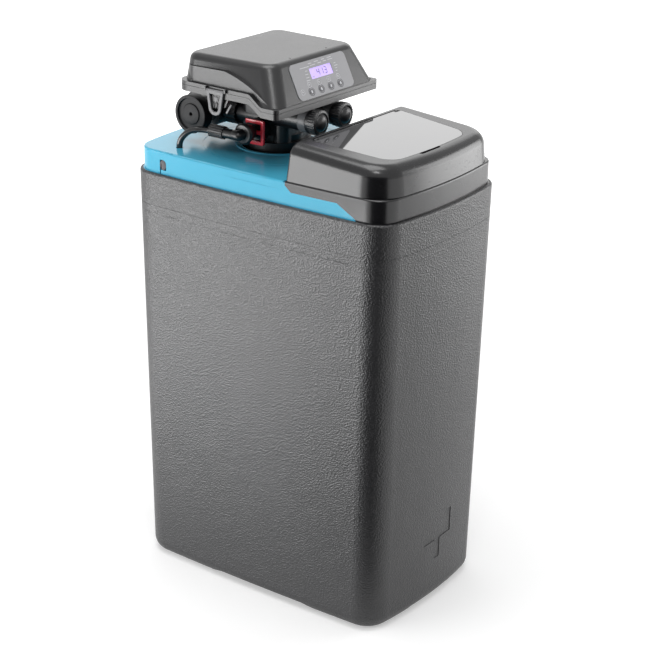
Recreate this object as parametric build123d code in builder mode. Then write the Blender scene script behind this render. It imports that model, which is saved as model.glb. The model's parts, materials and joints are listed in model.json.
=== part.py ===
from build123d import *
import os
from math import cos, degrees, hypot, pi, radians, sin, tan

# Cabinet softener: a tall plastic salt cabinet with a mineral tank standing in its rear half,
# a control valve screwed to the tank and a salt lid over the front half.
# Origin: middle of the floor under the cabinet. +Z is up, -Y is the salt side, X is the width.

os.makedirs("parts", exist_ok=True)

# General clearances and overruns
overrun = 2.0
seat_gap = 0.3
running_gap = 0.06

# Cabinet
cabinet_width = 320.0
cabinet_depth = 500.0
cabinet_height = 664.0
cabinet_corner = 44.0
cabinet_side_bow = 5.0
cabinet_end_bow = 14.0
cabinet_draft = 8.2
cabinet_wall = 4.0
cabinet_floor = 4.0
rim_rounding = 3.6
bottom_rounding = 22.0
foot_height = 11.0
side_arch_middle = -14.0
side_arch_length = 164.0
side_arch_slope = 38.0
end_arch_length = 98.0
end_arch_slope = 30.0
seam_drop = 52.0
seam_width = 0.9
seam_depth = 0.4

# Sunk panel low on the cabinet's front
panel_relief = 0.8
panel_width = 76.0
panel_height = 42.0
panel_middle = 11.0
panel_low = 107.0
panel_stem_width = 14.0
panel_stem_height = 33.0

# Deck: the rear cover and the front frame share one outline
deck_inset = 6.0
deck_height = 35.0
deck_wall = 4.0
deck_top_wall = 3.0
deck_edge_rounding = 2.8
tongue_depth = 12.0
split_rear = -60.0
split_drop = 6.0
split_step = 15.0
split_step_length = 11.0
split_run = 81.0
split_nose_length = 30.0
split_nose_height = 3.0
deck_groove_radius = 118.0
deck_groove_width = 0.9
deck_groove_depth = 0.5
deck_collar_radius = 67.0
deck_collar_wall = 3.0
deck_collar_height = 1.5
deck_opening_radius = 58.0
skirt_groove_height = 22.0
skirt_groove_rear = 142.0
cable_door_middle = 176.0
cable_door_width = 13.0
cable_door_height = 16.0
cable_door_low = 6.0
cable_slit_width = 2.0
deck_notch = 6.0

# Salt opening in the front frame
salt_opening_width = 272.0
salt_opening_rear = -80.0
salt_opening_front = -220.0
salt_opening_corner = 50.0
collar_wall = 3.0
collar_height = 9.0

# Salt lid
lid_inset = 2.0
lid_corner = 52.0
lid_rear = -58.5
lid_rise = 56.5
lid_slope = 4.2
lid_draft = 5.0
lid_wall = 3.0
lid_edge_radius = 20.0
lid_rear_radius = 6.0

# Hatch in the salt lid
hatch_setback = 15.0
hatch_rear_width = 226.0
hatch_front_width = 200.0
hatch_length = 136.0
hatch_bow = 6.0
hatch_thickness = 3.0
hatch_gap = 0.6
hatch_corner_cut = 1.8
hatch_rear_corner = 12.0
hatch_front_corner = 30.0
hatch_underside_gap = 0.4
recess_floor = 3.2
pour_margin = 9.0
hinge_barrel_radius = 2.6
hinge_pin_radius = 1.5
hinge_barrel_length = 196.0
hinge_boss_length = 8.0
finger_width = 51.0
finger_reach = 5.0
finger_depth = 3.6
finger_middle = -13.0

# Mineral tank
tank_axis_y = 70.0
tank_radius = 128.5
tank_wall = 3.0
tank_shoulder_height = 672.0
tank_neck_height = 690.0
tank_neck_radius = 40.0
tank_bottom_radius = 70.0
tank_top_radius = 86.0
boot_radius = 78.0
boot_thickness = 4.0
boot_bore_radius = 30.0
resin_height = 430.0
riser_radius = 13.35
riser_wall = 2.5
riser_foot_gap = 12.0
basket_radius = 28.0
basket_height = 40.0
top_basket_radius = 24.0
top_basket_height = 44.0
basket_wall = 2.5
basket_slots = 24
basket_slot_width = 1.6
basket_end = 6.0
oring_section = 1.8
oring_margin = 1.0

# Valve body
valve_skirt_radius = 50.0
valve_skirt_low = 676.0
valve_flange_height = 712.0
valve_block_width = 76.0
valve_block_front = 32.0
valve_block_rear = 118.0
valve_block_top = 799.0
valve_block_corner = 14.0
valve_barrel_radius = 42.0
valve_barrel_height = 10.0
passage_radius = 6.0
bore_radius = 16.0
bore_top = 768.0
piston_bore_radius = 11.2
piston_bore_top = 787.0
rod_radius = 4.0
rod_gap = 0.3
seal_inner_radius = 11.0
seal_count = 5
seal_thickness = 4.0
spacer_relief = 1.2
spacer_windows = 4
window_radius = 2.2
port_height = 745.0
port_spacing = 48.0
port_radius = 15.0
port_bore_radius = 10.5
port_socket_radius = 12.0
port_socket_depth = 22.0
port_end = 140.0

# Front caps
cap_spacing = 62.0
cap_height = 755.0
cap_barrel_radius = 17.0
cap_barrel_bore = 11.0
cap_barrel_front = -30.0
cap_radius = 19.5
cap_front = -34.0
cap_skirt = 14.0
cap_thread_gap = 0.1
cap_teeth = 18
cap_tooth_size = 1.6
cap_dish_radius = 15.0
cap_dish_depth = 2.5
cap_dome_radius = 11.0
cap_dome_rise = 2.0
cap_dimple_radius = 3.0
cap_cover = 10.0
cap_seal_section = 1.2

# Brine connection on the valve's left side
brine_height = 730.0
brine_axis_y = 75.0
brine_boss_radius = 18.0
brine_boss_end = 57.5
spigot_depth = 14.0
brine_flange_start = 62.5
brine_flange_end = 84.0
brine_flange_radius = 17.0
brine_spigot_radius = 8.0
brine_bore_radius = 3.0
brine_flange_chamfer = 3.0
brine_arm_radius = 8.0
brine_tip_radius = 6.0
brine_line_x = 94.0
nut_rear = 127.0
nut_front = 84.0
nut_radius = 10.0
nut_collar_radius = 7.6
nut_collar_length = 16.0
nut_insert = 8.0
nut_tube_gap = 0.3
nut_flare = 3.6
nut_ribs = 14
nut_rib_radius = 1.0
clip_width = 38.0
clip_rear = 86.0
clip_front = 52.0
clip_spine = 5.0
clip_prong = 5.5
clip_barb = 1.5

# Brine tube, OD 9.5 mm
tube_radius = 4.75
tube_bore_radius = 3.1
tube_hole_gap = 0.6
tube_low = 640.0
tube_side_shift = 21.6
tube_crest_shift = 14.0
tube_nut_shift = 1.5
tube_y = 173.0
tube_turn = 712.0
tube_crest_y = 155.0
tube_entry = 10.0
bend_share = 0.45

# Drain connection on the valve's right side
drain_boss_end = 60.0
drain_barb_end = 92.0
drain_boss_radius = 14.0
drain_barb_radius = 7.5
drain_bore_radius = 5.0
drain_passage_radius = 4.0
drain_collar = 8.0
barb_count = 4
barb_height = 1.2

# Bypass valve behind the control valve
bypass_axis_y = 175.0
bypass_radius = 27.0
bypass_half_length = 46.0
bypass_bore = 19.5
bypass_outlet_end = 225.0
bypass_outlet_radius = 16.0
spool_gap = 0.25
spool_land_width = 8.0
spool_land_shares = (-0.87, -0.22, 0.43)
spool_shaft_radius = 8.0
spool_travel = 20.0
knob_radius = 30.0
knob_face = 88.0
knob_length = 18.0
knob_rim = 5.0
knob_recess = 4.0
knob_inner_radius = 16.0
knob_hole_radius = 2.6
nut_ring_outer = 20.0
nut_ring_start = 124.0
nut_ring_end = 146.0
nut_ring_teeth = 16
nut_ring_tooth = 1.6

# Meter turbine in the outlet port
turbine_radius = 9.2
turbine_hub = 2.6
turbine_length = 10.0
turbine_blades = 6
turbine_blade_thickness = 1.2
axle_radius = 1.0
axle_length = 20.0
turbine_middle = 127.0
spider_width = 2.0
spider_thickness = 2.5

# Head: base tray with a stepped rim, and the cover on it
head_front = -25.0
head_rear = 172.0
head_front_half = 129.5
head_rear_half = 124.0
head_front_corner = 7.0
head_rear_corner = 24.0
rim_high = 802.0
rim_low = 786.0
rim_band = 9.0
rim_wall = 3.5
tray_thickness = 3.0
step_front = 5.0
step_rear = 27.0
step_rounding = 8.0
head_gap = 0.5

# Head cover
cover_top = 849.0
cover_lip = 5.5
cover_lip_inset = 3.5
cover_face_low = 792.0
cover_face_run = 25.5
cover_face_rise = 52.0
cover_face_setback = 1.5
cover_top_half_front = 103.0
cover_top_half_rear = 112.0
cover_top_rear = 164.0
cover_top_corner = 24.0
cover_edge_radius = 12.0
cover_wall = 3.0
cheek_inset = 6.0
cheek_high = 833.0
cheek_rear = 80.0
cheek_front = -9.0
cheek_bend = 27.0
cheek_bend_height = 815.0
cheek_fall = 4.0
cheek_rear_inset = 12.0
pip_spacing = 90.0
pip_setback = 11.0
pip_radius = 1.6
pip_depth = 1.0

# Display on the sloped face
overlay_width = 138.0
overlay_height = 55.5
overlay_low = 1.5
overlay_corner = 9.0
overlay_thickness = 0.8
screen_width = 54.0
screen_height = 16.5
screen_middle = 36.5
screen_shift = 2.0
screen_thickness = 3.0
screen_gap = 1.0
screen_corner = 1.5
button_spacing = 24.0
button_steps = (-1.5, -0.5, 0.5, 1.5)
button_height = 10.8
button_length = 10.0
button_width = 8.0
button_rise = 0.6
button_travel = 0.8
button_gap = 0.3
button_flange = 1.2
button_flange_thickness = 1.0
board_width = 132.0
board_height = 48.0
board_thickness = 1.6
board_depth = 8.0
board_post_radius = 2.5
board_screw_radius = 1.5
board_inset = 6.0
switch_radius = 2.5

# Latches on the cover's sides
latch_middle = 90.0
latch_width = 34.0
latch_bottom = 768.0
latch_pivot = 804.0
latch_thickness = 3.0
latch_arm = 6.0
latch_offset = 130.6
latch_barrel_radius = 1.5
latch_pin_radius = 1.0
latch_ear = 3.0
catch_width = 17.0
catch_low = 777.0
catch_ribs = 3
catch_rib_width = 1.6
catch_rib_rise = 1.0
brace_front = 66.0
brace_width = 3.0
brace_run = 7.0
brace_low = 780.0
ear_height = 5.0

# Drive inside the head
bracket_width = 104.0
bracket_front = 30.0
bracket_rear = 150.0
bracket_thickness = 3.0
bracket_screw_radius = 2.0
bracket_screw_inset = 7.0
tower_radius = 14.0
gear_hub_radius = 10.0
gear_low = 829.0
gear_thickness = 6.0
gear_module = 1.25
gear_teeth = 60
pinion_teeth = 12
pinion_turned_share = 0.5
tooth_share = 0.40
tooth_tip_share = 0.95
tooth_root_share = 1.2
pressure_angle = 20.0
gear_holes = 6
gear_hole_radius = 6.0
pinion_hub_radius = 4.0
motor_radius = 13.0
motor_height = 21.0
motor_shaft_radius = 1.5
shaft_depth = 8.0
motor_ear = 5.0
piston_radius = 10.75
piston_low = 716.0
piston_high = 758.0
piston_groove = 3.0
piston_groove_shares = (0.2, 0.6)
rod_socket = 8.0
rod_top = 818.0

# Brine well and what hangs in it
well_x = -111.0
well_y = 181.0
well_radius = 25.0
well_wall = 2.0
well_low = 15.0
well_high = 652.0
well_slots = 8
well_slot_width = 4.0
well_slot_height = 30.0
well_slot_low = 8.0
well_cap_height = 6.0
well_cap_lip = 2.0
brine_valve_high = 640.0
brine_valve_low = 596.0
brine_valve_width = 32.0
brine_valve_depth = 26.0
brine_valve_corner = 4.0
pickup_radius = 4.0
pickup_low = 60.0
air_check_radius = 9.0
air_check_low = 22.0
air_check_slots = 4
air_check_slot = 4.0
float_offset_x = 4.0
float_offset_y = 8.0
float_rod_radius = 1.6
float_radius = 10.5
float_length = 60.0
float_low = 300.0
float_rod_low = 180.0
float_rod_high = 625.0

# Salt grid on the cabinet's floor
grid_height = 60.0
grid_thickness = 4.0
grid_gap = 5.0
grid_rear = -64.0
grid_hole_radius = 4.0
grid_pitch = 20.0
grid_leg_radius = 9.0
grid_leg_inset = 30.0

# Worked out from the values above
cabinet_floor_top = foot_height + cabinet_floor
deck_top = cabinet_height + deck_height
cap_half = cap_spacing / 2
port_half = port_spacing / 2
tank_low = cabinet_floor_top + boot_thickness


def bowed_outline(width, depth, corner, side_bow, end_bow):
    """A rounded rectangle whose four sides bow outwards."""
    half_x = width / 2 - side_bow
    half_y = depth / 2 - end_bow
    with BuildSketch(mode=Mode.PRIVATE) as outline:
        with BuildLine():
            ThreePointArc((-half_x, -half_y), (0, -depth / 2), (half_x, -half_y))
            ThreePointArc((half_x, -half_y), (width / 2, 0), (half_x, half_y))
            ThreePointArc((half_x, half_y), (0, depth / 2), (-half_x, half_y))
            ThreePointArc((-half_x, half_y), (-width / 2, 0), (-half_x, -half_y))
        make_face()
        fillet(outline.vertices(), corner)
    return outline.sketch


def shape_outline(*points, corner=0):
    """A straight-sided outline through the given points, with one rounding for all corners."""
    with BuildSketch(mode=Mode.PRIVATE) as outline:
        with BuildLine():
            Polyline(*points, close=True)
        make_face()
        if corner:
            fillet(outline.vertices(), corner)
    return outline.sketch


def cabinet_outline(inset, height):
    """The cabinet's outline at a height, drawn in from the outer surface by inset."""
    shrink = inset + cabinet_draft * (1 - height / cabinet_height)
    return bowed_outline(
        cabinet_width - 2 * shrink,
        cabinet_depth - 2 * shrink,
        cabinet_corner - inset,
        cabinet_side_bow,
        cabinet_end_bow,
    )


def cabinet_form(inset, low, high):
    """The tapered cabinet as a solid block between two heights."""
    low_outline = cabinet_outline(inset, low)
    high_outline = cabinet_outline(inset, high)
    with BuildPart() as form:
        with BuildSketch(Plane.XY.offset(low)):
            add(low_outline)
        with BuildSketch(Plane.XY.offset(high)):
            add(high_outline)
        loft(ruled=True)
    return form.part


def drum(plane, radius, length, mode=Mode.ADD):
    """A cylinder that starts on a plane and runs along its normal, in the open part."""
    with BuildSketch(plane) as profile:
        Circle(radius)
    extrude(profile.sketch, amount=length, mode=mode)


def ring(plane, outer, inner, length, mode=Mode.ADD):
    """A tube that starts on a plane and runs along its normal, in the open part."""
    with BuildSketch(plane) as profile:
        Circle(outer)
        Circle(inner, mode=Mode.SUBTRACT)
    extrude(profile.sketch, amount=length, mode=mode)


def plate(plane, outline, length, mode=Mode.ADD):
    """A ready outline, extruded from a plane along its normal, in the open part."""
    with BuildSketch(plane) as profile:
        add(outline)
    extrude(profile.sketch, amount=length, mode=mode)


def upright(x, y, z):
    """A plane at a point with its normal up."""
    return Plane(origin=(x, y, z), x_dir=(1, 0, 0), z_dir=(0, 0, 1))


def on_axis(z):
    """A plane on the tank's axis at a height, with its normal up."""
    return upright(0, tank_axis_y, z)


def rearward(x, y, z):
    """A plane at a point with its normal towards the rear."""
    return Plane(origin=(x, y, z), x_dir=(1, 0, 0), z_dir=(0, 1, 0))


def sideways(x, y, z, side=1):
    """A plane at a point with its normal along X, to the given side."""
    return Plane(origin=(x, y, z), x_dir=(0, 1, 0), z_dir=(side, 0, 0))


# Cabinet
panel_back = cabinet_form(panel_relief, panel_low - 2 * panel_stem_height, panel_low + 2 * panel_height)
with BuildPart() as sunk_panel:
    with BuildSketch(Plane.XZ):
        with Locations((panel_middle, panel_low + panel_height / 2)):
            Rectangle(panel_width, panel_height)
        with Locations((panel_middle, panel_low - panel_stem_height / 2)):
            Rectangle(panel_stem_width, panel_stem_height)
    extrude(amount=cabinet_depth)
    add(panel_back, mode=Mode.SUBTRACT)

cabinet_outer = cabinet_form(0, 0, cabinet_height)
cabinet_inner = cabinet_form(cabinet_wall, cabinet_floor_top, cabinet_height)
seam_height = cabinet_height - seam_drop
seam_outside = cabinet_outline(-overrun, seam_height)
seam_inside = cabinet_outline(seam_depth, seam_height)

with BuildPart() as cabinet:
    add(cabinet_outer)
    fillet(cabinet.edges().group_by(Axis.Z)[0], bottom_rounding)
    fillet(cabinet.edges().group_by(Axis.Z)[-1], rim_rounding)
    add(sunk_panel.part, mode=Mode.SUBTRACT)
    add(cabinet_inner, mode=Mode.SUBTRACT)
    side_half = side_arch_length / 2
    with BuildSketch(Plane.YZ):
        with BuildLine():
            Polyline(
                (side_arch_middle - side_half - side_arch_slope, 0),
                (side_arch_middle - side_half, foot_height),
                (side_arch_middle + side_half, foot_height),
                (side_arch_middle + side_half + side_arch_slope, 0),
                close=True,
            )
        make_face()
    extrude(amount=cabinet_width, both=True, mode=Mode.SUBTRACT)
    end_half = end_arch_length / 2
    with BuildSketch(Plane.XZ):
        with BuildLine():
            Polyline(
                (-end_half - end_arch_slope, 0),
                (-end_half, foot_height),
                (end_half, foot_height),
                (end_half + end_arch_slope, 0),
                close=True,
            )
        make_face()
    extrude(amount=cabinet_depth, both=True, mode=Mode.SUBTRACT)
    with BuildSketch(Plane.XY.offset(seam_height)):
        add(seam_outside)
        add(seam_inside, mode=Mode.SUBTRACT)
    extrude(amount=seam_width, mode=Mode.SUBTRACT)
cabinet.part.label = "cabinet"
export_step(cabinet.part, "parts/cabinet.step")

# Deck shell that the rear cover and the front frame are both cut from
deck_width = cabinet_width - 2 * deck_inset
deck_depth = cabinet_depth - 2 * deck_inset
deck_corner = cabinet_corner - deck_inset
tongue_inset = cabinet_wall + seat_gap


def deck_outline(inset):
    """The deck's outline, drawn in from its outer wall by inset."""
    return bowed_outline(
        deck_width - 2 * inset,
        deck_depth - 2 * inset,
        deck_corner - inset,
        cabinet_side_bow,
        cabinet_end_bow,
    )


deck_outside = deck_outline(0)
deck_inside = deck_outline(deck_wall)
tongue_outside = deck_outline(tongue_inset - deck_inset)

with BuildPart() as deck_shell:
    plate(Plane.XY.offset(cabinet_height), deck_outside, deck_height)
    fillet(deck_shell.edges().group_by(Axis.Z)[-1], deck_edge_rounding)
    plate(Plane.XY.offset(cabinet_height - tongue_depth), tongue_outside, tongue_depth)
    plate(
        Plane.XY.offset(cabinet_height - tongue_depth),
        deck_inside,
        tongue_depth + deck_height - deck_top_wall,
        mode=Mode.SUBTRACT,
    )

# Side view of the line between the rear cover and the front frame
split_step_low = deck_top - split_step
split_run_front = split_rear - split_step_length - split_run
split_nose_front = split_run_front - split_nose_length
rear_side = shape_outline(
    (deck_depth, cabinet_height - 2 * tongue_depth),
    (deck_depth, deck_top + overrun),
    (split_rear, deck_top + overrun),
    (split_rear, deck_top - split_drop),
    (split_rear - split_step_length, split_step_low),
    (split_run_front, split_step_low),
    (split_nose_front, cabinet_height + split_nose_height),
    (split_nose_front - split_nose_height, cabinet_height),
    (split_nose_front - split_nose_height, cabinet_height - 2 * tongue_depth),
)
door_radius = cable_door_width / 2
door_low = cabinet_height + cable_door_low
groove_height = cabinet_height + skirt_groove_height

with BuildPart() as deck_cover:
    add(deck_shell.part)
    plate(Plane.YZ.offset(-cabinet_width), rear_side, 2 * cabinet_width, mode=Mode.INTERSECT)
    ring(
        on_axis(deck_top),
        deck_collar_radius,
        deck_collar_radius - deck_collar_wall,
        deck_collar_height,
    )
    ring(
        on_axis(deck_top - deck_groove_depth),
        deck_groove_radius,
        deck_groove_radius - deck_groove_width,
        deck_groove_depth + overrun,
        mode=Mode.SUBTRACT,
    )
    drum(
        on_axis(cabinet_height),
        deck_opening_radius,
        deck_height + deck_collar_height + overrun,
        mode=Mode.SUBTRACT,
    )
    with BuildSketch(Plane.YZ):
        with Locations((cable_door_middle, door_low + cable_door_height - door_radius)):
            Circle(door_radius)
        with Locations((cable_door_middle + door_radius / 2, door_low + cable_door_height / 2)):
            Rectangle(door_radius, cable_door_height)
        with Locations((cable_door_middle, door_low + (cable_door_height - door_radius) / 2)):
            Rectangle(cable_door_width, cable_door_height - door_radius)
        with Locations((cable_door_middle + door_radius - cable_slit_width / 2, door_low)):
            Rectangle(cable_slit_width, 2 * cable_door_low + 2 * overrun)
    extrude(amount=cabinet_width, both=True, mode=Mode.SUBTRACT)
    for side in (-1, 1):
        groove_length = skirt_groove_rear - (split_rear - split_step_length)
        groove_middle = skirt_groove_rear - groove_length / 2
        with BuildSketch(sideways(side * deck_width / 2, groove_middle, groove_height)):
            Rectangle(groove_length, deck_groove_width)
        extrude(amount=deck_groove_depth, both=True, mode=Mode.SUBTRACT)
        with BuildSketch(upright(side * (deck_width - deck_notch) / 2, split_rear, deck_top)):
            Rectangle(deck_notch, deck_notch)
        extrude(amount=deck_groove_depth + overrun, both=True, mode=Mode.SUBTRACT)

# Brine tube: its route fixes the hole in the deck, the well cap and the nut
tube_x = -(brine_line_x + tube_side_shift)
tube_points = (
    (tube_x, tube_y, tube_low),
    (tube_x, tube_y, tube_turn),
    (-brine_line_x - tube_crest_shift, tube_crest_y, brine_height),
    (-brine_line_x - tube_nut_shift, nut_rear, brine_height),
    (-brine_line_x, nut_front + tube_entry, brine_height),
)

tube_bends = []
for before, at, after in zip(tube_points, tube_points[1:], tube_points[2:]):
    run_in = Vector(*at) - Vector(*before)
    run_out = Vector(*after) - Vector(*at)
    shorter = min(run_in.length, run_out.length)
    tube_bends.append(bend_share * shorter / tan(radians(run_in.get_angle(run_out)) / 2))
print("tube bend radii", [round(bend, 1) for bend in tube_bends])

with BuildPart() as brine_tube:
    with BuildLine() as tube_route:
        FilletPolyline(*tube_points, radius=tube_bends)
    with BuildSketch(Plane(origin=tube_points[0], z_dir=(0, 0, 1))):
        Circle(tube_radius)
        Circle(tube_bore_radius, mode=Mode.SUBTRACT)
    sweep()
brine_tube.part.label = "brine_tube"
export_step(brine_tube.part, "parts/brine_tube.step")
tube_section = pi * (tube_radius**2 - tube_bore_radius**2)
tube_length = sum(edge.length for edge in tube_route.edges())
print(
    "tube volume",
    round(brine_tube.part.volume),
    "section times length",
    round(tube_section * tube_length),
)

with deck_cover:
    drum(
        upright(tube_x, tube_y, cabinet_height),
        tube_radius + tube_hole_gap,
        deck_height + overrun,
        mode=Mode.SUBTRACT,
    )
deck_cover.part.label = "deck_cover"
export_step(deck_cover.part, "parts/deck_cover.step")

# Front frame round the salt opening
opening_length = salt_opening_rear - salt_opening_front
opening_middle = (salt_opening_rear + salt_opening_front) / 2
with BuildPart() as front_frame:
    add(deck_shell.part)
    plate(Plane.YZ.offset(-cabinet_width), rear_side, 2 * cabinet_width, mode=Mode.SUBTRACT)
    with BuildSketch(Plane.XY.offset(deck_top - deck_top_wall)):
        with Locations((0, opening_middle)):
            RectangleRounded(
                salt_opening_width + 2 * collar_wall,
                opening_length + 2 * collar_wall,
                salt_opening_corner + collar_wall,
            )
    extrude(amount=deck_top_wall + collar_height)
    with BuildSketch(Plane.XY.offset(cabinet_height)):
        with Locations((0, opening_middle)):
            RectangleRounded(salt_opening_width, opening_length, salt_opening_corner)
    extrude(amount=deck_height + 2 * collar_height, mode=Mode.SUBTRACT)
front_frame.part.label = "front_frame"
export_step(front_frame.part, "parts/front_frame.step")

# Salt lid
lid_low = deck_top + seat_gap
lid_rear_top = deck_top + lid_rise
lid_top_plane = Plane(
    origin=(0, lid_rear, lid_rear_top),
    x_dir=(1, 0, 0),
    z_dir=(0, -sin(radians(lid_slope)), cos(radians(lid_slope))),
)


def lid_outline(inset):
    """The front part of the deck's outline, closed by the lid's straight rear side."""
    full = bowed_outline(
        deck_width - 2 * (lid_inset + inset),
        deck_depth - 2 * (lid_inset + inset),
        lid_corner - inset,
        cabinet_side_bow,
        cabinet_end_bow,
    )
    reach = cabinet_depth
    with BuildSketch(mode=Mode.PRIVATE) as outline:
        add(full)
        with Locations((0, lid_rear - inset - reach / 2)):
            Rectangle(cabinet_width, reach, mode=Mode.INTERSECT)
    return outline.sketch


def lid_form(inset):
    """The lid as a solid block, drawn in from its outer surface by inset."""
    foot = lid_outline(inset)
    head = lid_outline(inset + lid_draft)
    with BuildPart() as form:
        with BuildSketch(Plane.XY.offset(lid_low)):
            add(foot)
        with BuildSketch(Plane.XY.offset(lid_rear_top + overrun)):
            add(head)
        loft(ruled=True)
        split(bisect_by=lid_top_plane.offset(-inset), keep=Keep.BOTTOM)
        top_edges = form.faces().sort_by(Axis.Z)[-1].edges()
        rear_edge = top_edges.sort_by(Axis.Y)[-1]
        fillet([edge for edge in top_edges if edge is not rear_edge], lid_edge_radius - inset)
        rear_face = form.faces().sort_by(Axis.Y)[-1]
        low_edge = rear_face.edges().sort_by(Axis.Z)[0]
        fillet([edge for edge in rear_face.edges() if edge is not low_edge], lid_rear_radius - inset)
    return form.part


lid_outer = lid_form(0)
lid_inner = lid_form(lid_wall)

# Hatch outline in the lid's sloping top plane: x across, y towards the rear
hatch_rear_y = -hatch_setback
hatch_front_y = hatch_rear_y - hatch_length


def hatch_outline(grow):
    """The hatch seen square to the lid's top, let out by grow."""
    rear_half = hatch_rear_width / 2 + grow
    front_half = hatch_front_width / 2 + grow
    rear = hatch_rear_y + grow
    front = hatch_front_y - grow
    with BuildSketch(mode=Mode.PRIVATE) as outline:
        with BuildLine():
            Line((-front_half, front), (-rear_half, rear))
            Line((-rear_half, rear), (rear_half, rear))
            Line((rear_half, rear), (front_half, front))
            ThreePointArc((front_half, front), (0, front - hatch_bow), (-front_half, front))
        make_face()
        corners = outline.vertices().group_by(Axis.Y)
        fillet(corners[-1], hatch_rear_corner + grow)
        fillet(outline.vertices().group_by(Axis.Y)[0], hatch_front_corner + grow)
    return outline.sketch


def on_lid(x, y, depth):
    """A plane in the lid's top, moved along it and down into it."""
    return Plane(
        origin=lid_top_plane.from_local_coords(Vector(x, y, -depth)),
        x_dir=(1, 0, 0),
        z_dir=lid_top_plane.z_dir,
    )


def across_lid(x, y, depth):
    """A plane with its normal along X at a place in the lid's top."""
    return Plane(
        origin=lid_top_plane.from_local_coords(Vector(x, y, -depth)),
        x_dir=lid_top_plane.y_dir,
        z_dir=(1, 0, 0),
    )


hinge_y = hatch_rear_y - hinge_barrel_radius
recess_depth = hatch_thickness + hatch_underside_gap
groove_depth = 2 * hinge_barrel_radius + hatch_gap
recess_total = recess_depth + recess_floor
barrel_half = hinge_barrel_length / 2
boss_start = barrel_half + seat_gap
pin_half = boss_start + hinge_boss_length
hatch_shape = hatch_outline(0)
recess_shape = hatch_outline(hatch_gap)
recess_block_shape = hatch_outline(hatch_gap + lid_wall)
pour_shape = hatch_outline(-pour_margin)

with BuildPart() as salt_lid:
    add(lid_outer)
    add(lid_inner, mode=Mode.SUBTRACT)
    plate(on_lid(0, 0, recess_total), recess_block_shape, recess_total - lid_wall / 2)
    plate(on_lid(0, 0, recess_depth), recess_shape, recess_depth + overrun, mode=Mode.SUBTRACT)
    with BuildSketch(on_lid(0, hinge_y, groove_depth)):
        Rectangle(2 * pin_half, 2 * (hinge_barrel_radius + hatch_gap))
    extrude(amount=groove_depth + overrun, mode=Mode.SUBTRACT)
    plate(on_lid(0, 0, 2 * recess_total), pour_shape, 4 * recess_total, mode=Mode.SUBTRACT)
    with BuildSketch(on_lid(finger_middle, hatch_front_y - hatch_bow, finger_depth)):
        RectangleRounded(finger_width, 2 * finger_reach, finger_reach - hatch_gap)
    extrude(amount=finger_depth + overrun, mode=Mode.SUBTRACT)
    for side in (-1, 1):
        boss_x = side * (boss_start + hinge_boss_length / 2) - hinge_boss_length / 2
        with BuildSketch(across_lid(boss_x, hinge_y, hinge_barrel_radius)):
            Circle(hinge_barrel_radius)
            with Locations(
                (hinge_barrel_radius / 2 + hatch_gap / 2, -hinge_barrel_radius / 2 - hatch_gap / 2),
            ):
                Rectangle(hinge_barrel_radius + hatch_gap, hinge_barrel_radius + hatch_gap)
            Circle(hinge_pin_radius + running_gap / 2, mode=Mode.SUBTRACT)
        extrude(amount=hinge_boss_length)
salt_lid.part.label = "salt_lid"
export_step(salt_lid.part, "parts/salt_lid.step")

with BuildPart() as hatch:
    plate(on_lid(0, 0, hatch_thickness), hatch_shape, hatch_thickness)
    with BuildSketch(on_lid(0, hinge_y + hinge_barrel_radius, hatch_thickness)):
        Rectangle(hatch_rear_width + 2 * overrun, 2 * hinge_barrel_radius)
    extrude(amount=hatch_thickness, mode=Mode.SUBTRACT)
    for side in (-1, 1):
        notch_width = (hatch_rear_width - hinge_barrel_length) / 2 + overrun
        with BuildSketch(on_lid(side * (barrel_half + notch_width / 2), hinge_y, hatch_thickness)):
            Rectangle(notch_width, 2 * (hinge_barrel_radius + hatch_corner_cut))
        extrude(amount=hatch_thickness, mode=Mode.SUBTRACT)
    with BuildSketch(across_lid(-barrel_half, hinge_y, hinge_barrel_radius)):
        Circle(hinge_barrel_radius)
        Circle(hinge_pin_radius + running_gap, mode=Mode.SUBTRACT)
    extrude(amount=hinge_barrel_length)
    with BuildSketch(across_lid(-barrel_half, hinge_y, hinge_barrel_radius)):
        Circle(hinge_pin_radius + running_gap)
    extrude(amount=hinge_barrel_length, mode=Mode.SUBTRACT)
hatch.part.label = "hatch"
export_step(hatch.part, "parts/hatch.step")

with BuildPart() as hatch_pin:
    drum(across_lid(-pin_half, hinge_y, hinge_barrel_radius), hinge_pin_radius, 2 * pin_half)
hatch_pin.part.label = "hatch_pin"
export_step(hatch_pin.part, "parts/hatch_pin.step")
print("hatch hinge", tuple(on_lid(0, hinge_y, hinge_barrel_radius).origin))

# Mineral tank, its contents and the pipes in it


def tank_profile(inset):
    """Half section of the tank, drawn in from its outer surface by inset."""
    shoulder = tank_shoulder_height - inset
    low = tank_low + inset
    radius = tank_radius - inset
    with BuildSketch(mode=Mode.PRIVATE) as half:
        with BuildLine():
            Polyline((0, low), (radius, low), (radius, shoulder), (0, shoulder), close=True)
        make_face()
        outer = half.vertices().group_by(Axis.X)[-1].sort_by(Axis.Y)
        fillet(outer[0], tank_bottom_radius - inset)
        fillet(half.vertices().group_by(Axis.Y)[-1].sort_by(Axis.X)[-1], tank_top_radius - inset)
    return half.sketch


tank_section = Plane(origin=(0, tank_axis_y, 0), x_dir=(1, 0, 0), z_dir=(0, -1, 0))
tank_axis = Axis(origin=(0, tank_axis_y, 0), direction=(0, 0, 1))
tank_outside = tank_profile(0)
tank_inside = tank_profile(tank_wall)
resin_outside = tank_profile(tank_wall + seat_gap)

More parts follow.
